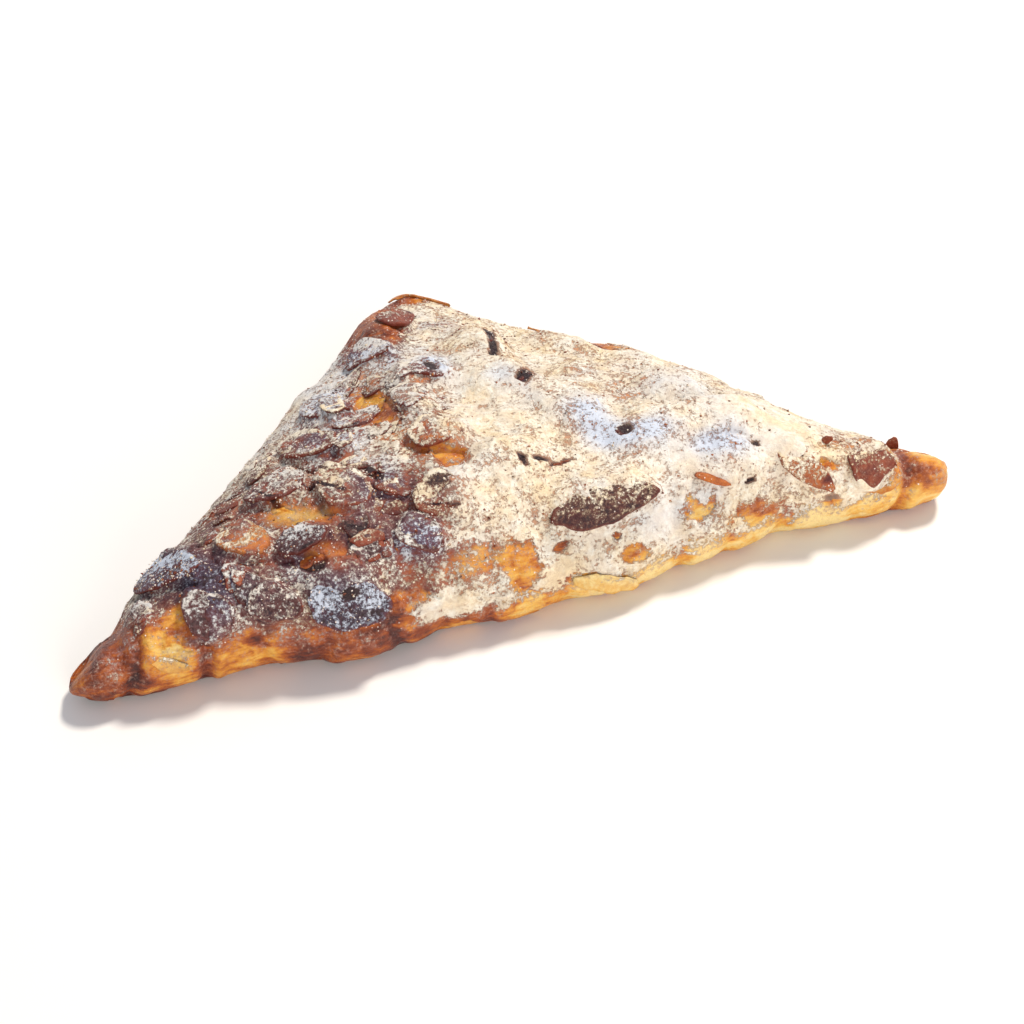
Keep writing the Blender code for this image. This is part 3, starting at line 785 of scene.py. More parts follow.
def clumps(tree, size):
    """Unevenness of powder from about -0.5 to 0.5: three sizes of noise together."""
    fine, middle, broad = grain(tree, size, 3.0, 0.7), grain(tree, size * 2.6, 2.0, 0.6), grain(tree, size * 8, 2.0, 0.5)
    both = maths(tree, "ADD", maths(tree, "MULTIPLY", fine, 0.52), maths(tree, "MULTIPLY", middle, 0.30))
    both = maths(tree, "ADD", both, maths(tree, "MULTIPLY", broad, 0.18))
    return maths(tree, "MULTIPLY", maths(tree, "SUBTRACT", both, 0.5), 3.1)


def between(tree, value, low, high):
    """0 below low, 1 above high, even in between."""
    return node(tree, "ShaderNodeMapRange", {0: value, 1: low, 2: high}, clamp=True).outputs[0]


def sugared(tree, base, shader, film_strength=0.52):
    """Powdered sugar over a base colour: a tan film where it is scant and clumps of warm white where it is
    plenty, both bluish over dark almond (partly the look of thin sugar over dark, partly painted cool shade and
    highlight), matt, and standing a little proud of the skin."""
    level = maths(tree, "ADD", clumps(tree, 0.55), painted(tree, "dust"))
    film, powder = between(tree, level, 0.18, 0.46), between(tree, level, 0.44, 0.68)
    bluish_sugar_and_shade = painted(tree, "bluish_sugar_and_shade")
    uneven = between(tree, grain(tree, 0.9, 5.0, 0.7), 0.32, 0.6)
    broad = between(tree, grain(tree, 4.0, 3.0), 0.36, 0.6)
    cream = mixed(tree, broad, linear("#F8E4C0"), linear("#FFFAEA"))
    warm = mixed(tree, uneven, linear("#DCC4A4"), cream)
    # Painted shade and highlight: the bluish value turns white and tan sugar bluish-lavender, partly the look of thin
    # sugar over dark almond.
    white = mixed(tree, bluish_sugar_and_shade, warm, linear("#D6DFF0"))
    tan = mixed(tree, bluish_sugar_and_shade, linear("#CF9C82"), linear("#8A80A0"))
    filmed = mixed(tree, maths(tree, "MULTIPLY", film, film_strength), base, tan)
    tree.links.new(mixed(tree, powder, filmed, white), shader.inputs["Base Color"])
    tree.links.new(maths(tree, "ADD", maths(tree, "MULTIPLY", film, 0.55), 0.32), shader.inputs["Roughness"])
    shader.inputs["Specular IOR Level"].default_value = 0.45
    height = maths(tree, "ADD", powder, maths(tree, "MULTIPLY", grain(tree, 0.9, 6.0, 0.7), 1.4))
    bump = node(tree, "ShaderNodeBump", {"Strength": 0.8, "Distance": 0.4 * MM, "Height": height})
    tree.links.new(bump.outputs[0], shader.inputs["Normal"])


def varied(tree, key, size, amount, detail=4.0):
    """A painted value with noise about it."""
    return maths(
        tree, "ADD", painted(tree, key),
        maths(tree, "MULTIPLY", maths(tree, "SUBTRACT", grain(tree, size, detail), 0.5), amount),
    )  # fmt: skip


def crust_colour(tree):
    """Egg-washed puff pastry: pale gold through orange-brown to dark brown with the baking."""
    stops = [
        (0.0, "#F6DC98"), (0.2, "#EFBE5C"), (0.36, "#DF9530"), (0.5, "#B9621C"), (0.66, "#8A3C14"),
        (0.84, "#562014"), (1.0, "#300E12"),
    ]  # fmt: skip
    streaks = maths(tree, "MULTIPLY", maths(tree, "SUBTRACT", fibres(tree, 1.3), 0.5), 0.7)
    return ramp(tree, maths(tree, "ADD", varied(tree, "baked", 1.0, 0.4, 6.0), streaks), stops)


def baked_pastry():
    """Baked puff pastry with a satin gloss, dusted with powdered sugar."""
    material, tree, shader = new_material("baked puff pastry")
    sugared(tree, crust_colour(tree), shader)
    return material


def powdered_sugar():
    """Powdered sugar baked together with almond crumbs into a rough topping: cream where the sugar is thick,
    tan where it is thin, with burnt purple-brown to orange almond showing between the clumps."""
    material, tree, shader = new_material("powdered sugar on almond")
    stops = [
        (0.0, "#EBA650"), (0.3, "#C87232"), (0.46, "#94472A"), (0.62, "#602B2A"), (0.8, "#401F2E"), (1.0, "#220C14"),
    ]  # fmt: skip
    crumbs = mixed(
        tree, painted(tree, "veil"), ramp(tree, varied(tree, "brown", 2.2, 0.9, 5.0), stops), linear("#D2AE8E"),
    )  # fmt: skip
    sugared(tree, mixed(tree, painted(tree, "bare"), crumbs, crust_colour(tree)), shader, 0.4)
    return material


def toasted_almond():
    """Toasted flaked almond: amber where lightly toasted and nearly black-brown where burnt, redder at its
    skin rim, satin, with sugar caught on its upper face."""
    material, tree, shader = new_material("toasted almond")
    stops = [(0.0, "#EDA94C"), (0.25, "#C8702A"), (0.5, "#8E3E20"), (0.75, "#571E1C"), (1.0, "#280E16")]
    flesh = ramp(tree, varied(tree, "dark", 1.6, 0.6), stops)
    rim = node(tree, "ShaderNodeMapRange", {0: painted(tree, "out"), 1: 0.86, 2: 1.0}).outputs[0]
    sugared(tree, mixed(tree, maths(tree, "MULTIPLY", rim, 0.6), flesh, linear("#7A2A16")), shader, 0.22)
    return material


def sugar_grain():
    """Loose clumps of powdered sugar: white, matt."""
    material, tree, shader = new_material("loose powdered sugar")
    colour = mixed(tree, grain(tree, 5.0, 3.0), linear("#E6D6D6"), linear("#FFF4E2"))
    tree.links.new(colour, shader.inputs["Base Color"])
    shader.inputs["Roughness"].default_value = 0.9
    return material


def browned_crumb():
    """Crumbs and shards of browned pastry leaf: orange-brown to dark, thin and slightly glossy."""
    material, tree, shader = new_material("browned pastry leaf")
    stops = [(0.0, "#F6DF9C"), (0.16, "#E6B45C"), (0.38, "#C4701F"), (0.65, "#84340F"), (1.0, "#38160E")]
    sugared(tree, ramp(tree, varied(tree, "brown", 1.0, 0.4), stops), shader, 0.3)
    return material


PASTRY, SUGAR, ALMOND, GRAIN, LEAF = baked_pastry(), powdered_sugar(), toasted_almond(), sugar_grain(), browned_crumb()


# ---------------------------------------------------------------- loose leaves of crust on the sides
# Leaves on the folded side, each (x and height of one end, x and height of the other, width, lift of the lower
# edge, how brown, how much sugar).
FOLD_LEAVES = [
    (5.0, 8.2, 17.0, 5.0, 3.4, 0.9, 0.02, 0.12), (-66.5, 9.4, -60.5, 7.6, 2.2, 0.5, 0.1, 0.3), (61, 9.6, 67.5, 8.8, 1.8, 0.4, 0.2, 0.3),
]  # fmt: skip
# Leaves at the top of the cut edges, in the same words.
TOP_LEAVES = [
    (-3.5, 8.0, 7.5, 8.2, 1.8, 0.3, 0.36, 0.0), (19.5, 8.0, 27.5, 8.0, 2.0, 0.4, 0.3, 0.0), (-14, 8.4, -6, 8.2, 1.6, 0.3, 0.5, 0.1),
    (30, 8.6, 36.5, 8.8, 1.4, 0.3, 0.6, 0.1),
]  # fmt: skip
CUT_LEAVES = 40
LEAF_THICKNESS = 0.35
LEAF_CLEARANCE = 0.05


def side_place(x, z, side):
    """Place on the folded side (-1) or on a cut edge (1) at a height, from the quarter circles of its section."""
    front, back = fold_edge(x), cut_edge(x)
    if side < 0:
        edge, height, over, under = front, NOSE_HEIGHT, NOSE_RADIUS, NOSE_UNDERCUT
        over, under = np.minimum(over, NOSE_SHARE * (back - front)), np.minimum(under, NOSE_SHARE * (back - front))
    else:
        edge, height, over, under = back, LIP_HEIGHT, LIP_RADIUS, LIP_UNDERCUT
        over, under = np.minimum(over, LIP_SHARE * (back - front)), np.minimum(under, LIP_SHARE * (back - front))
    rise = crown(x, edge - side * over) - height
    above, below = np.clip((z - height) / rise, 0, 1), np.clip((height - z) / height, 0, 1)
    inwards = over * (1 - np.sqrt(1 - above**2)) + under * (1 - np.sqrt(1 - below**2))
    return np.stack([x, edge - side * inwards, z], axis=-1)


def side_leaf(row, side, seed):
    """A thin leaf of crust along a side: a lens pointed at both ends, its outline nibbled, lying on the side by
    its upper edge and curling away from it at the lower one."""
    x_start, z_start, x_end, z_end, width, lift, brown, dust = row
    along = np.linspace(0.02, 0.98, 30)[:, None]
    across = np.concatenate([np.linspace(1, -1, 9), np.linspace(-1, 1, 9)])[None, :]
    through = np.repeat([1.0, 0.0], 9)[None, :]
    rim = np.stack(np.broadcast_arrays(along * abs(x_end - x_start), np.sign(across), seed * 3.1), axis=-1)
    nibble = 1 + 0.35 * rough_noise(rim, 2.0, 3, seed=seed)
    half = width / 2 * np.sin(math.pi * along) ** 0.6 * nibble
    x = x_start + (x_end - x_start) * along + 0 * across
    z = np.maximum(z_start + (z_end - z_start) * along + across * half, 0.3)
    place = side_place(x, z, side)
    step = 0.4
    slope_x = side_place(x + step, z, side)[..., 1] - side_place(x - step, z, side)[..., 1]
    slope_z = side_place(x, z + step, side)[..., 1] - side_place(x, np.maximum(z - step, 0.05), side)[..., 1]
    outward = np.stack([-side * slope_x, side * 2 * step + 0 * x, -side * slope_z], axis=-1)
    outward /= np.linalg.norm(outward, axis=-1, keepdims=True)
    off = 0.25 + lift * (0.5 - 0.5 * across) ** 1.6 * (0.7 + 0.6 * noise(place, 3, seed)) + LEAF_THICKNESS * through
    grid = place + outward * off[..., None]
    grid[..., 2] = np.maximum(grid[..., 2], LEAF_CLEARANCE)
    shades = brown + 0.15 * (1 - across) / 2 + 0 * x
    values = {"brown": closed_values(shades), "dust": closed_values(dust + 0.25 * across + 0 * x), "bluish_sugar_and_shade": closed_values(0 * x)}
    return close_ends(grid), loop_faces(*grid.shape[:2]), values


# ---------------------------------------------------------------- where sugar and browning lie
def sugar_line(x):
    """Height on the folded side below which the crust is bare: high on the left, low on the right."""
    line = 9.5 - 4.6 * smooth_step(x, -29, -18) - 1.9 * smooth_step(x, 2, 12) + 5.0 * smooth_step(x, 48, 62)
    return line + 3.0 * np.exp(-(((x + 4) / 4) ** 2)) - 1.2 * np.exp(-(((x - 30) / 10) ** 2))


def wavering(points, size, amount, seed):
    """The same places moved about by noise, so that whatever is painted there has a ragged outline."""
    shift = [rough_noise(points, size, 3, seed=seed + k) for k in (0, 1)]
    return points + amount * np.stack([*shift, 0 * shift[0]], axis=-1)


def side_share(points, lower, soft):
    """1 on the crown and 0 on the folded side below the sugar line, lowered by so much, with a ragged edge."""
    x, y, z = points[..., 0], points[..., 1], points[..., 2]
    above = z - sugar_line(x) + lower + 1.8 * rough_noise(points, 4, 4, seed=43)
    on_side = 1 - smooth_step(y - fold_edge(x), 5, 9)
    return 1 - on_side * (1 - smooth_step(above, -soft, soft))


def coated(points):
    """0 over the left, where the sugar is scant, and 1 over the right, under the thick coat."""
    return smooth_step(points[..., 0] - 0.3 * points[..., 1] + 4 * rough_noise(points, 9, 4, seed=40), -23, -8)


def sugar_cover(points):
    """How much sugar lies on each place, 0 to 1: half of the left is dusted, the right is under a thick coat,
    the tips and the lower part of the folded side are bare, broken by bare patches and heaps."""
    x, y = points[..., 0], points[..., 1]
    ragged = wavering(points, 3.5, 1.3, 44)
    even = 0.41 + 0.14 * smooth_step(y, 10, 26) + 0.13 * smooth_step(y, 30, 48) + 0.12 * rough_noise(points, 7, 4, seed=41)
    even = even + (0.76 + 0.09 * rough_noise(points, 6, 4, seed=42) - even) * coated(points)
    even = even + 0.08 * smooth_step(y - cut_edge(x), -9, -2) * (1 - smooth_step(x, -30, 0))
    even = even + 0.5 * patches(ragged, SUGAR_HEAPS, 0.5) - 0.14 * patches(points, TAN_PATCHES)
    even = even - 0.85 * patches(ragged, BARE_PATCHES, 0.7)
    film = 0.2 + 0.12 * rough_noise(points, 4, 3, seed=47) - 0.12 * (1 - smooth_step(points[..., 2], 1, 4))
    return np.maximum(np.clip(even, 0, 1.1) * side_share(points, 0.8, 2.4), film)


def topping_share(points):
    """Where the topping of almond and sugar lies on the crust, 0 to 1: all over the crown but the bare patches."""
    bare = patches(wavering(points, 3.5, 1.3, 44), BARE_PATCHES, 0.45)
    return (1 - smooth_step(bare, 0.25, 0.6)) * side_share(points, -0.4, 1.2)


def crust_showing(points):
    """Where the topping thins out to the bare crust, 0 to 1, reaching a little further than its geometric edge."""
    bare = patches(wavering(points, 3.5, 1.3, 44), BARE_PATCHES, 0.7)
    return np.clip(smooth_step(bare, 0.08, 0.4) + 1 - side_share(points, -1.6, 1.6), 0, 1)


def browning(points, leaf):
    """How brown the crust is baked, 0 to 1: darker over the left half, at the tips and low on the sides, and
    painted darker in the fold's creases, which is painted shade.
    """
    x, y, z = points[..., 0], points[..., 1], points[..., 2]
    even = 0.60 - 0.14 * smooth_step(x, -30, 10) - 0.12 * (1 - smooth_step(y - fold_edge(x), 3, 8))
    low = 0.2 * smooth_step(2.6 - z, 0, 2.6)
    height, edge = leaf
    # Painted shade: where fold_creases dips below 0, the crust is painted browner.
    leaf_tone_and_crease_shade = 0.26 * (height - 0.5) + 0.1 * edge - 0.3 * np.minimum(fold_creases(points), 0)
    return even + low + patches(points, BROWNING_AND_GROOVE_SHADE) + 0.16 * rough_noise(points, 5, 4, seed=51) + leaf_tone_and_crease_shade


def bluish_sugar_and_shade_amount(points):
    """How bluish the sugar looks, 0 to 1: over burnt almond on the left, and where it is thin elsewhere. The blue
    is partly thin sugar over dark almond and partly painted cool shade and highlight.
    """
    cast = 0.2 - 0.1 * coated(points) + 0.24 * rough_noise(points, 7, 3, seed=55)
    return np.clip(cast + patches(points, BLUISH_SUGAR_AND_SHADE_PATCHES), 0, 1)


def topping_browning(points):
    """How dark the almond crumbs under the sugar are, 0 to 1: nearly burnt over the left and middle, orange
    in a few patches, and toasted light under the thick coat on the right."""
    x, y = points[..., 0], points[..., 1]
    even = 0.64 - 0.18 * coated(points) + 0.2 * patches(points, BLUISH_SUGAR_AND_SHADE_PATCHES) + 0.08 * (1 - smooth_step(y, 8, 24))
    even = even - 0.1 * smooth_step(x, -28, -20)
    return even + patches(points, BROWNING_AND_GROOVE_SHADE) + 0.15 * rough_noise(points, 5, 4, seed=53)


# ---------------------------------------------------------------- building
def blurred(grid, rows, columns):
    """A grid averaged over so many neighbours each way."""
    for axis, reach in ((0, rows), (1, columns)):
        total = sum(np.roll(grid, shift, axis=axis) for shift in range(-reach, reach + 1))
        grid = total / (2 * reach + 1)
    return grid


def closed_values(grid):
    """Values of a grid of loops as one list, with those of the points that close its ends."""
    return close_ends(grid[..., None])[:, 0]


def baked_grid(places, finer):
    """The smooth sections with their relief, standing on the floor, the number of upper rows, and how brown
    each place is."""
    smooth_grid, upper_rows = sections(places, finer)
    normal = loop_normals(smooth_grid)
    leaf = pastry_leaves(smooth_grid)
    grid = smooth_grid + relief(smooth_grid, normal, leaf)[..., None] * normal
    grid[..., 2] = np.maximum(grid[..., 2], 0)
    return grid, upper_rows, browning(grid, leaf)


crust_grid, _, crust_browning = baked_grid(section_places(), 1.0)
upwards = smooth_step(loop_normals(crust_grid)[..., 2], -0.3, 0.3)
# Painted shade: the crust is painted browner in the hollows, for burnt almond and shade.
crust_shaded_hollow = patches(crust_grid, SHADED_HOLLOWS, edge=0.45) * upwards
crust_values = {
    "baked": closed_values(crust_browning + 0.3 * crust_shaded_hollow),
    "dust": closed_values(sugar_cover(crust_grid) * upwards - crust_shaded_hollow),
    "bluish_sugar_and_shade": closed_values(bluish_sugar_and_shade_amount(crust_grid)),
}
add_piece(
    "crust_skin", close_ends(crust_grid), loop_faces(*crust_grid.shape[:2]), PASTRY,
    crust_values, replaces=["crust"],
)  # fmt: skip

# The topping is worked out on a finer grid than the crust's, and stops short of the bare tips.
fine_grid, upper_rows, fine_browning = baked_grid(np.linspace(*TOPPING_ENDS, TOPPING_SECTIONS), TOPPING_FINENESS)
top = fine_grid[:, :upper_rows]
top_normal = loop_normals(fine_grid)[:, :upper_rows]
cover = sugar_cover(top)

slices = [slice_from_node(name, seed) for seed, name in enumerate(sorted(SLICE_LOOKS), start=1)]
node_slices = len(slices)
RING = np.array([(0, 0, 0)] + [(math.cos(turn), math.sin(turn), 0) for turn in np.arange(8) * math.pi / 4])


def covers_shown(spots):
    """Whether any of the spots lies on a slice that shows bare."""
    shown = [piece for piece in slices if piece.shown > 0.5]
    return any((piece.share_out(*piece.locate(spots)[:2]) < 1.1).any() for piece in shown)


EXTRA_CHIPS = 150
showing = crust_showing(top)
chip_weight = np.linalg.norm(np.gradient(top, axis=0), axis=-1) * np.linalg.norm(np.gradient(top, axis=1), axis=-1)
chip_weight = chip_weight * (showing < 0.2) * (1 - 0.85 * coated(top)) * smooth_step(top_normal[..., 2], 0.6, 0.8)
random = np.random.default_rng(7)
tries = random.choice(chip_weight.size, 9 * EXTRA_CHIPS, p=(chip_weight / chip_weight.sum()).ravel())
for seed, at in enumerate(tries, start=200):
    x, y, _ = place = top.reshape(-1, 3)[at]
    length = random.uniform(3.5, 9.5)
    ring = place + length * 0.45 * RING
    here = cover.ravel()[at]
    stacked = height_on(ring, np.array([0, 0, 1.0]), slices)[0]
    crowded = stacked.max() > (0.5 if coated(place) > 0.3 else 2.0) or np.median(stacked) > 0.9
    if not (fold_edge(x) + 3 + length / 4 < y < cut_edge(x) - 3 - length / 3) or crowded or covers_shown(ring):
        continue
    looks = (
        random.uniform(0, 0.45), max(here + random.uniform(-0.08, 0.1), 0.3), random.uniform(0.5, 1.0), random.uniform(0.0, 0.5),
    )  # fmt: skip
    lay_chip(
        slices, x, y, length, length * random.uniform(0.5, 0.8), random.uniform(0, 360), random.uniform(0, 7),
        looks, seed, sink=random.uniform(0.15, 0.55) + 0.4 * (here > 0.65), thickness=0.5,
    )  # fmt: skip
    if len(slices) == node_slices + EXTRA_CHIPS:
        break


def spread(grid, reach):
    """Each place takes the highest value within so many neighbours each way."""
    for axis in (0, 1):
        grid = np.max([np.roll(grid, shift, axis=axis) for shift in range(-reach, reach + 1)], axis=0)
    return grid


def looks_at(pieces, uppermost):
    """The four looks of the uppermost slice at each place, 0 where there is none."""
    looks = np.array([piece.looks for piece in pieces] + [(0.0, 0.0, 0.0, 0.0)])
    return np.moveaxis(looks[uppermost], -1, 0)


# Slices under the topping: where sugar is scant it drapes over each of them and leaves some rims bare, and
# where it is thick it makes one soft coat over them all.
covered = [piece for piece in slices if piece.shown <= 0.5]
raised, uppermost, to_rim, _ = height_on(top, top_normal, covered)
thick = smooth_step(coated(top), 0.3, 0.9)
raised = np.minimum(raised, 2.2 + 1.6 * thick)
on_slice = uppermost >= 0
_, _, dark_on, bluish_sugar_and_shade_on = looks_at(covered, uppermost)
# Painted shade: the topping dips at the hollows and is painted darker, browner and bare of sugar there, for burnt
# almond and the shade in the hollow.
shaded_hollow = smooth_step(patches(wavering(top, 1.5, 0.3, 66), SHADED_HOLLOWS, edge=0.6), 0.2, 0.65)
drifting = rough_noise(top, 6, 3, seed=64)
loose = blurred(raised, 4, 4) * smooth_step(cover, 0.4, 0.8) + 0.15 + 0.8 * (cover - 0.5)
draped = np.maximum(raised + 0.12 + 0.5 * (np.minimum(cover, 1) - 0.6), np.minimum(loose, raised + 0.3))
bare_rim = on_slice & (to_rim < 0.5) & (drifting + 1.6 * (0.5 - cover) + 0.05 > 0)
scant = np.where(on_slice, np.where(bare_rim, raised - 0.45, draped), loose)
coat = np.minimum(blurred(spread(raised, 3), 4, 4) + 0.35 + 0.5 * (cover - 0.8), 3.6)
crumbly = 0.22 * rough_noise(top, 3.2, 4, seed=61) + 0.14 * rough_noise(top, 1.2, 2, seed=63)
topping = scant + (coat - scant) * thick + crumbly * (1 - 0.5 * np.maximum(thick, 0.5 * on_slice))

# Slices that show: their back is buried in the topping and their front stands clear of it.
shown_slices = [piece for piece in slices if piece.shown > 0.5]
open_raised, open_uppermost, _, behind = height_on(top, top_normal, shown_slices)
on_open = open_uppermost >= 0
shown_on = looks_at(shown_slices, open_uppermost)[0]
heaped = patches(top, SUGAR_HEAPS, 0.5) + 0.5 * rough_noise(top, 3, 4, seed=67)
buried = smooth_step(behind - (2.2 * shown_on - 1.2) + heaped, -0.1, 0.5)
pile = blurred(spread(np.where(on_open & (buried > 0.3), open_raised, 0.0), 3), 4, 4) + 0.1
topping = np.where(on_open, open_raised - 0.5 + 0.7 * buried, np.maximum(topping, np.minimum(pile, 1.6)))

for _ in range(2):
    topping = topping + 0.75 * (blurred(topping, 1, 1) - topping)
softened = 0.85 * thick * ~on_open
for _ in range(4):
    topping = topping + softened * (blurred(topping, 2, 2) - topping)
topping = topping + softened * (0.16 * rough_noise(top, 2.6, 3, seed=68) + 0.08 * rough_noise(top, 1.1, 2, seed=69))
topping = topping - (0.9 - 0.4 * thick) * shaded_hollow - 1.2 * smooth_step(0.3 - top_normal[..., 2], 0, 0.5)
topping = topping - 0.9 * (1 - topping_share(top))
edge_rows = np.arange(upper_rows)[None, :]
fade = smooth_step(edge_rows, 4, 10) * smooth_step(upper_rows - 1 - edge_rows, 4, 11)
fade = fade * smooth_step(top[..., 0], TOPPING_ENDS[0], TOPPING_ENDS[0] + 4)
fade = fade * smooth_step(-top[..., 0], -TOPPING_ENDS[1], 4 - TOPPING_ENDS[1])
topping = np.maximum(topping * fade - 0.6 * (1 - fade), -0.8)

RETURN_ROWS = 4
# Raised along softened normals, so that neighbouring places don't cross where the topping is thick.
raising = top_normal + fade[..., None] * (blurred(blurred(top_normal, 6, 6), 6, 6) - top_normal)
raising /= np.linalg.norm(raising, axis=-1, keepdims=True)
topping_top = top + topping[..., None] * raising
share = ((np.arange(RETURN_ROWS) + 1) / (RETURN_ROWS + 1))[None, :, None]
inner = topping_top[:, -1:] * (1 - share) + topping_top[:, :1] * share
topping_grid = np.concatenate([topping_top, inner], axis=1)


def widened(values):
    """Values of the upper rows, with the hidden rows below filled in."""
    return np.concatenate([values, np.repeat(values[:, -1:], RETURN_ROWS, axis=1)], axis=1)


topping_values = {
    "dust": widened(cover - 0.9 * shaded_hollow),
    "bluish_sugar_and_shade": widened(np.clip(bluish_sugar_and_shade_amount(top) + 0.35 * bluish_sugar_and_shade_on * (1 - thick), 0, 1)),
    "veil": widened(0.75 * smooth_step(cover, 0.5, 0.8) * (1 - shaded_hollow)),
    "bare": widened(crust_showing(top)),
    "baked": widened(fine_browning[:, :upper_rows] + 0.3 * shaded_hollow),
    "brown": widened(np.clip(topping_browning(top) + 0.25 * (dark_on - 0.6) * on_slice + shaded_hollow, 0, 1)),
}
add_piece(
    "sugar_topping", close_ends(topping_grid), loop_faces(*topping_grid.shape[:2]), SUGAR,
    {key: closed_values(value) for key, value in topping_values.items()}, flat_ends=True,
)  # fmt: skip

for piece in slices[:node_slices]:
    points, faces, values = slice_mesh(piece, WHOLE_RINGS, 44)
    add_piece(piece.name + "_slice", points, faces, ALMOND, values, replaces=[piece.name])
add_joined("almond_chips", [slice_mesh(piece, CHIP_RINGS, 22) for piece in slices[node_slices:]], ALMOND)

random = np.random.default_rng(21)
cut_rows = list(TOP_LEAVES)
for _ in range(CUT_LEAVES):
    start, length = random.uniform(-66, 60), random.uniform(5, 12)
    height, fall = random.uniform(1.5, 5.6), random.uniform(-1.2, 1.2)
    looks = (random.uniform(1.0, 2.0), random.uniform(0.2, 0.7), random.uniform(0.2, 0.7), random.uniform(0.0, 0.3))
    cut_rows.append((start, height, start + length, height + fall, *looks))
shapes = [side_leaf(row, -1, seed) for seed, row in enumerate(FOLD_LEAVES, start=400)]
shapes += [side_leaf(row, 1, seed) for seed, row in enumerate(cut_rows, start=500)]


def standing_shard(x, y, length, point, seed):
    """A small shard of almond caught upright in the crust."""
    axes = [np.array(point, float) / np.linalg.norm(point)]
    axes.append(np.cross(axes[0], [0.6, 0.8, 0.0]) / np.linalg.norm(np.cross(axes[0], [0.6, 0.8, 0.0])))
    axes.append(np.cross(*axes))
    centre = np.array([x, y, skin_height(x, y) + 0.3 * length])
    shard = Slice("shard", centre, np.array(axes), length, 0.7 * length, np.zeros(6), (1.0, 0.1, 0.7, 0.0), seed, 0.5)
    points, faces, values = slice_mesh(shard, CHIP_RINGS, 22)
    return points, faces, {"brown": values["dark"], "dust": values["dust"], "bluish_sugar_and_shade": values["bluish_sugar_and_shade"]}


shapes.append(standing_shard(71.8, 7.6, 3.4, (0.3, 0.2, 1.0), 601))
shapes.append(standing_shard(56.3, 4.2, 2.0, (0.8, -0.3, 0.4), 602))
add_joined("crust_leaves", shapes, LEAF)

# ---------------------------------------------------------------- loose grains and crumbs
outer = top + np.maximum(np.maximum(topping, raised), np.maximum(open_raised, 0))[..., None] * top_normal
cell_u = np.linalg.norm(np.gradient(outer, axis=0), axis=-1)
cell_v = np.linalg.norm(np.gradient(outer, axis=1), axis=-1)
cell_area = cell_u * cell_v


def scattered(name, count, density, size, seed, material, stretch=(1, 1, 1), lift=0.0, values=None):
    """Many small lumps on the dressed skin: each is an eight-faced bead with its corners pulled about,
    set down where the density says, turned at random."""
    random = np.random.default_rng(seed)
    weight = (cell_area * np.clip(density, 0, None)).ravel()
    chosen = random.choice(weight.size, count, p=weight / weight.sum())
    row, column = np.unravel_index(chosen, density.shape)
    row, column = np.clip(row, 0, outer.shape[0] - 2), np.clip(column, 0, outer.shape[1] - 2)
    a, b = random.random((2, count, 1))
    place = outer[row, column] * (1 - a) * (1 - b) + outer[row + 1, column] * a * (1 - b)
    place = place + outer[row, column + 1] * (1 - a) * b + outer[row + 1, column + 1] * a * b
    bead = np.array([(1, 0, 0), (0, 1, 0), (-1, 0, 0), (0, -1, 0), (0, 0, 1), (0, 0, -1)], float)
    sides = np.array([(0, 1, 4), (1, 2, 4), (2, 3, 4), (3, 0, 4), (1, 0, 5), (2, 1, 5), (3, 2, 5), (0, 3, 5)])
    reach = random.uniform(size[0], size[1], (count, 1, 1)) / 2 * random.uniform(0.7, 1.3, (count, 6, 1))
    turn = random.uniform(0, 2 * math.pi, count)
    tilt = random.uniform(-0.6, 0.6, (2, count))
    first = np.stack([np.cos(turn), np.sin(turn), tilt[0]], axis=-1)
    second = np.stack([-np.sin(turn), np.cos(turn), tilt[1]], axis=-1)
    first /= np.linalg.norm(first, axis=-1, keepdims=True)
    third = np.cross(first, second)
    third /= np.linalg.norm(third, axis=-1, keepdims=True)
    axes = np.stack([first, np.cross(third, first), third], axis=1)
    corners = (bead * stretch * reach) @ axes
    points = place[:, None] + corners + top_normal[row, column][:, None] * lift
    faces = (sides[None] + 6 * np.arange(count)[:, None, None]).reshape(-1, 3)
    painted_values = {key: np.repeat(value(random, row, column), 6) for key, value in (values or {}).items()}
    add_piece(name, points.reshape(-1, 3), [faces], material, painted_values, smooth=False)


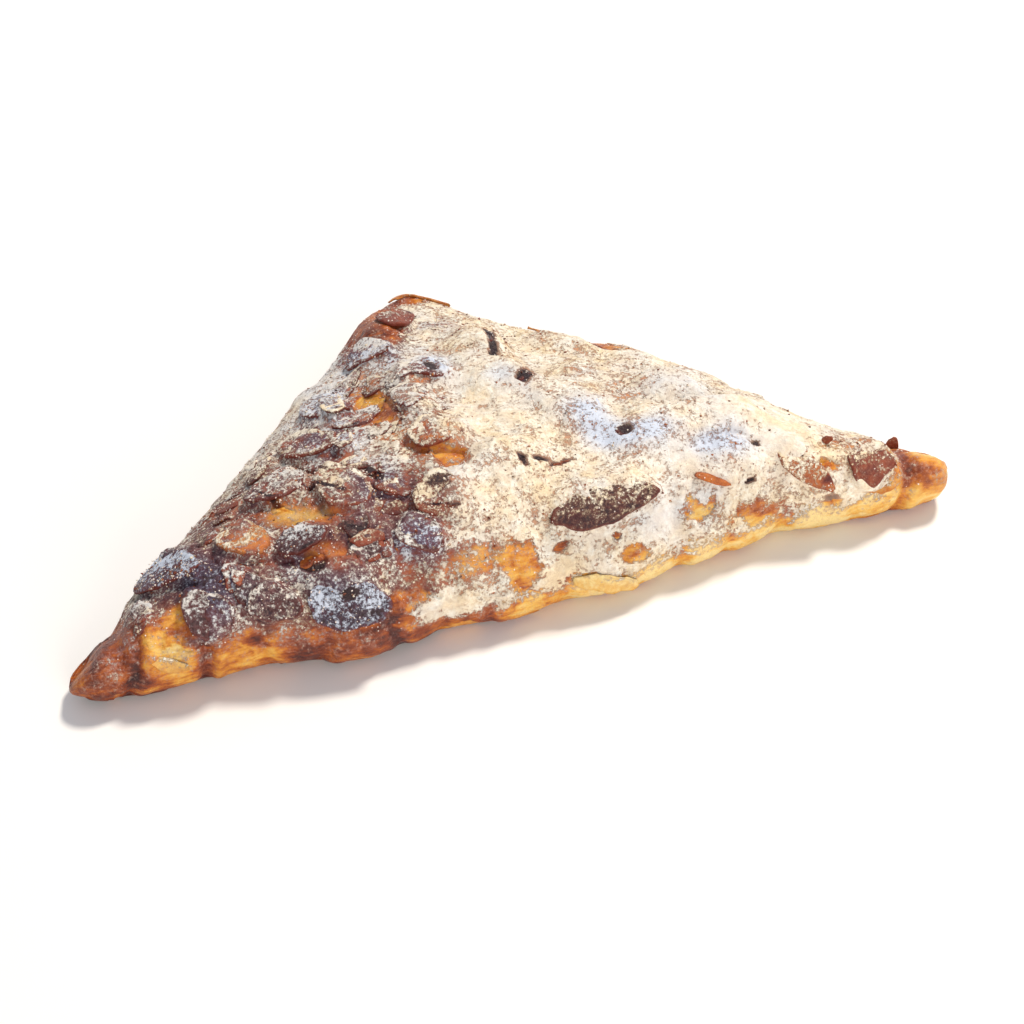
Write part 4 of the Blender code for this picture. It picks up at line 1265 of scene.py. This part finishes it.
facing_up = smooth_step(top_normal[..., 2], 0.1, 0.7)
speckled = np.exp(-(((cover - 0.5) / 0.25) ** 2)) * facing_up
scattered(
    "sugar_grains", 4400, speckled + 0.2 * facing_up * smooth_step(cover, 0.1, 0.3), (0.16, 0.4), 11, GRAIN,
    lift=0.0,
)  # fmt: skip
scattered(
    "browned_crumbs", 1000, facing_up * (0.08 + speckled), (0.3, 0.9), 12, LEAF,
    stretch=(1, 0.7, 0.45), lift=0.0,
    values={"brown": lambda r, i, j: r.uniform(0.5, 1.0, len(i)), "dust": lambda r, i, j: r.uniform(0.2, 0.7, len(i))},
)  # fmt: skip


# ---------------------------------------------------------------- floor, light and camera
def add_floor():
    size = 3.0
    corners = np.array([(-size, -size, 0), (size, -size, 0), (size, size, 0), (-size, size, 0)], float)
    mesh = new_mesh("floor", corners, [np.array([[0, 1, 2, 3]])])
    material, tree, shader = new_material("white laminate table")
    shader.inputs["Base Color"].default_value = linear("#F4F4F4")
    shader.inputs["Roughness"].default_value = 0.8
    mesh.materials.append(material)
    floor = bpy.data.objects.new("floor", mesh)
    bpy.context.scene.collection.objects.link(floor)


def aim(thing, towards):
    from mathutils import Vector

    way = Vector(towards) - thing.location
    thing.rotation_euler = way.to_track_quat("-Z", "Y").to_euler()


def add_light(name, place, size, power, colour):
    light = bpy.data.lights.new(name, "AREA")
    light.shape = "DISK"
    light.size, light.energy, light.color = size, power, linear(colour)[:3]
    lamp = bpy.data.objects.new(name, light)
    bpy.context.scene.collection.objects.link(lamp)
    lamp.location = place
    aim(lamp, (0, 0, 0.01))


def add_camera():
    azimuth, elevation, distance = math.radians(-18.4), math.radians(43.8), 0.3508
    target = (0.0008, (13.4 - CENTRE_Y) * MM, 0.008)
    back = (
        math.sin(azimuth) * math.cos(elevation),
        -math.cos(azimuth) * math.cos(elevation),
        math.sin(elevation),
    )
    camera = bpy.data.objects.new("camera", bpy.data.cameras.new("camera"))
    bpy.context.scene.collection.objects.link(camera)
    camera.location = [t + b * distance for t, b in zip(target, back)]
    camera.data.lens = 70
    camera.data.sensor_width = 36
    aim(camera, target)
    bpy.context.scene.camera = camera


def add_world():
    world = bpy.data.worlds.new("studio")
    world.use_nodes = True
    background = world.node_tree.nodes["Background"]
    background.inputs[0].default_value = linear("#E6ECF8")
    background.inputs[1].default_value = 0.45
    bpy.context.scene.world = world


add_floor()
add_world()
add_light("key", (0.36, 0.22, 0.75), 0.16, 7.2, "#FFF5E6")
add_light("fill", (0.1, -0.85, 0.3), 0.5, 4.2, "#FFF2E2")
add_camera()
bpy.context.scene.view_settings.view_transform = "Standard"
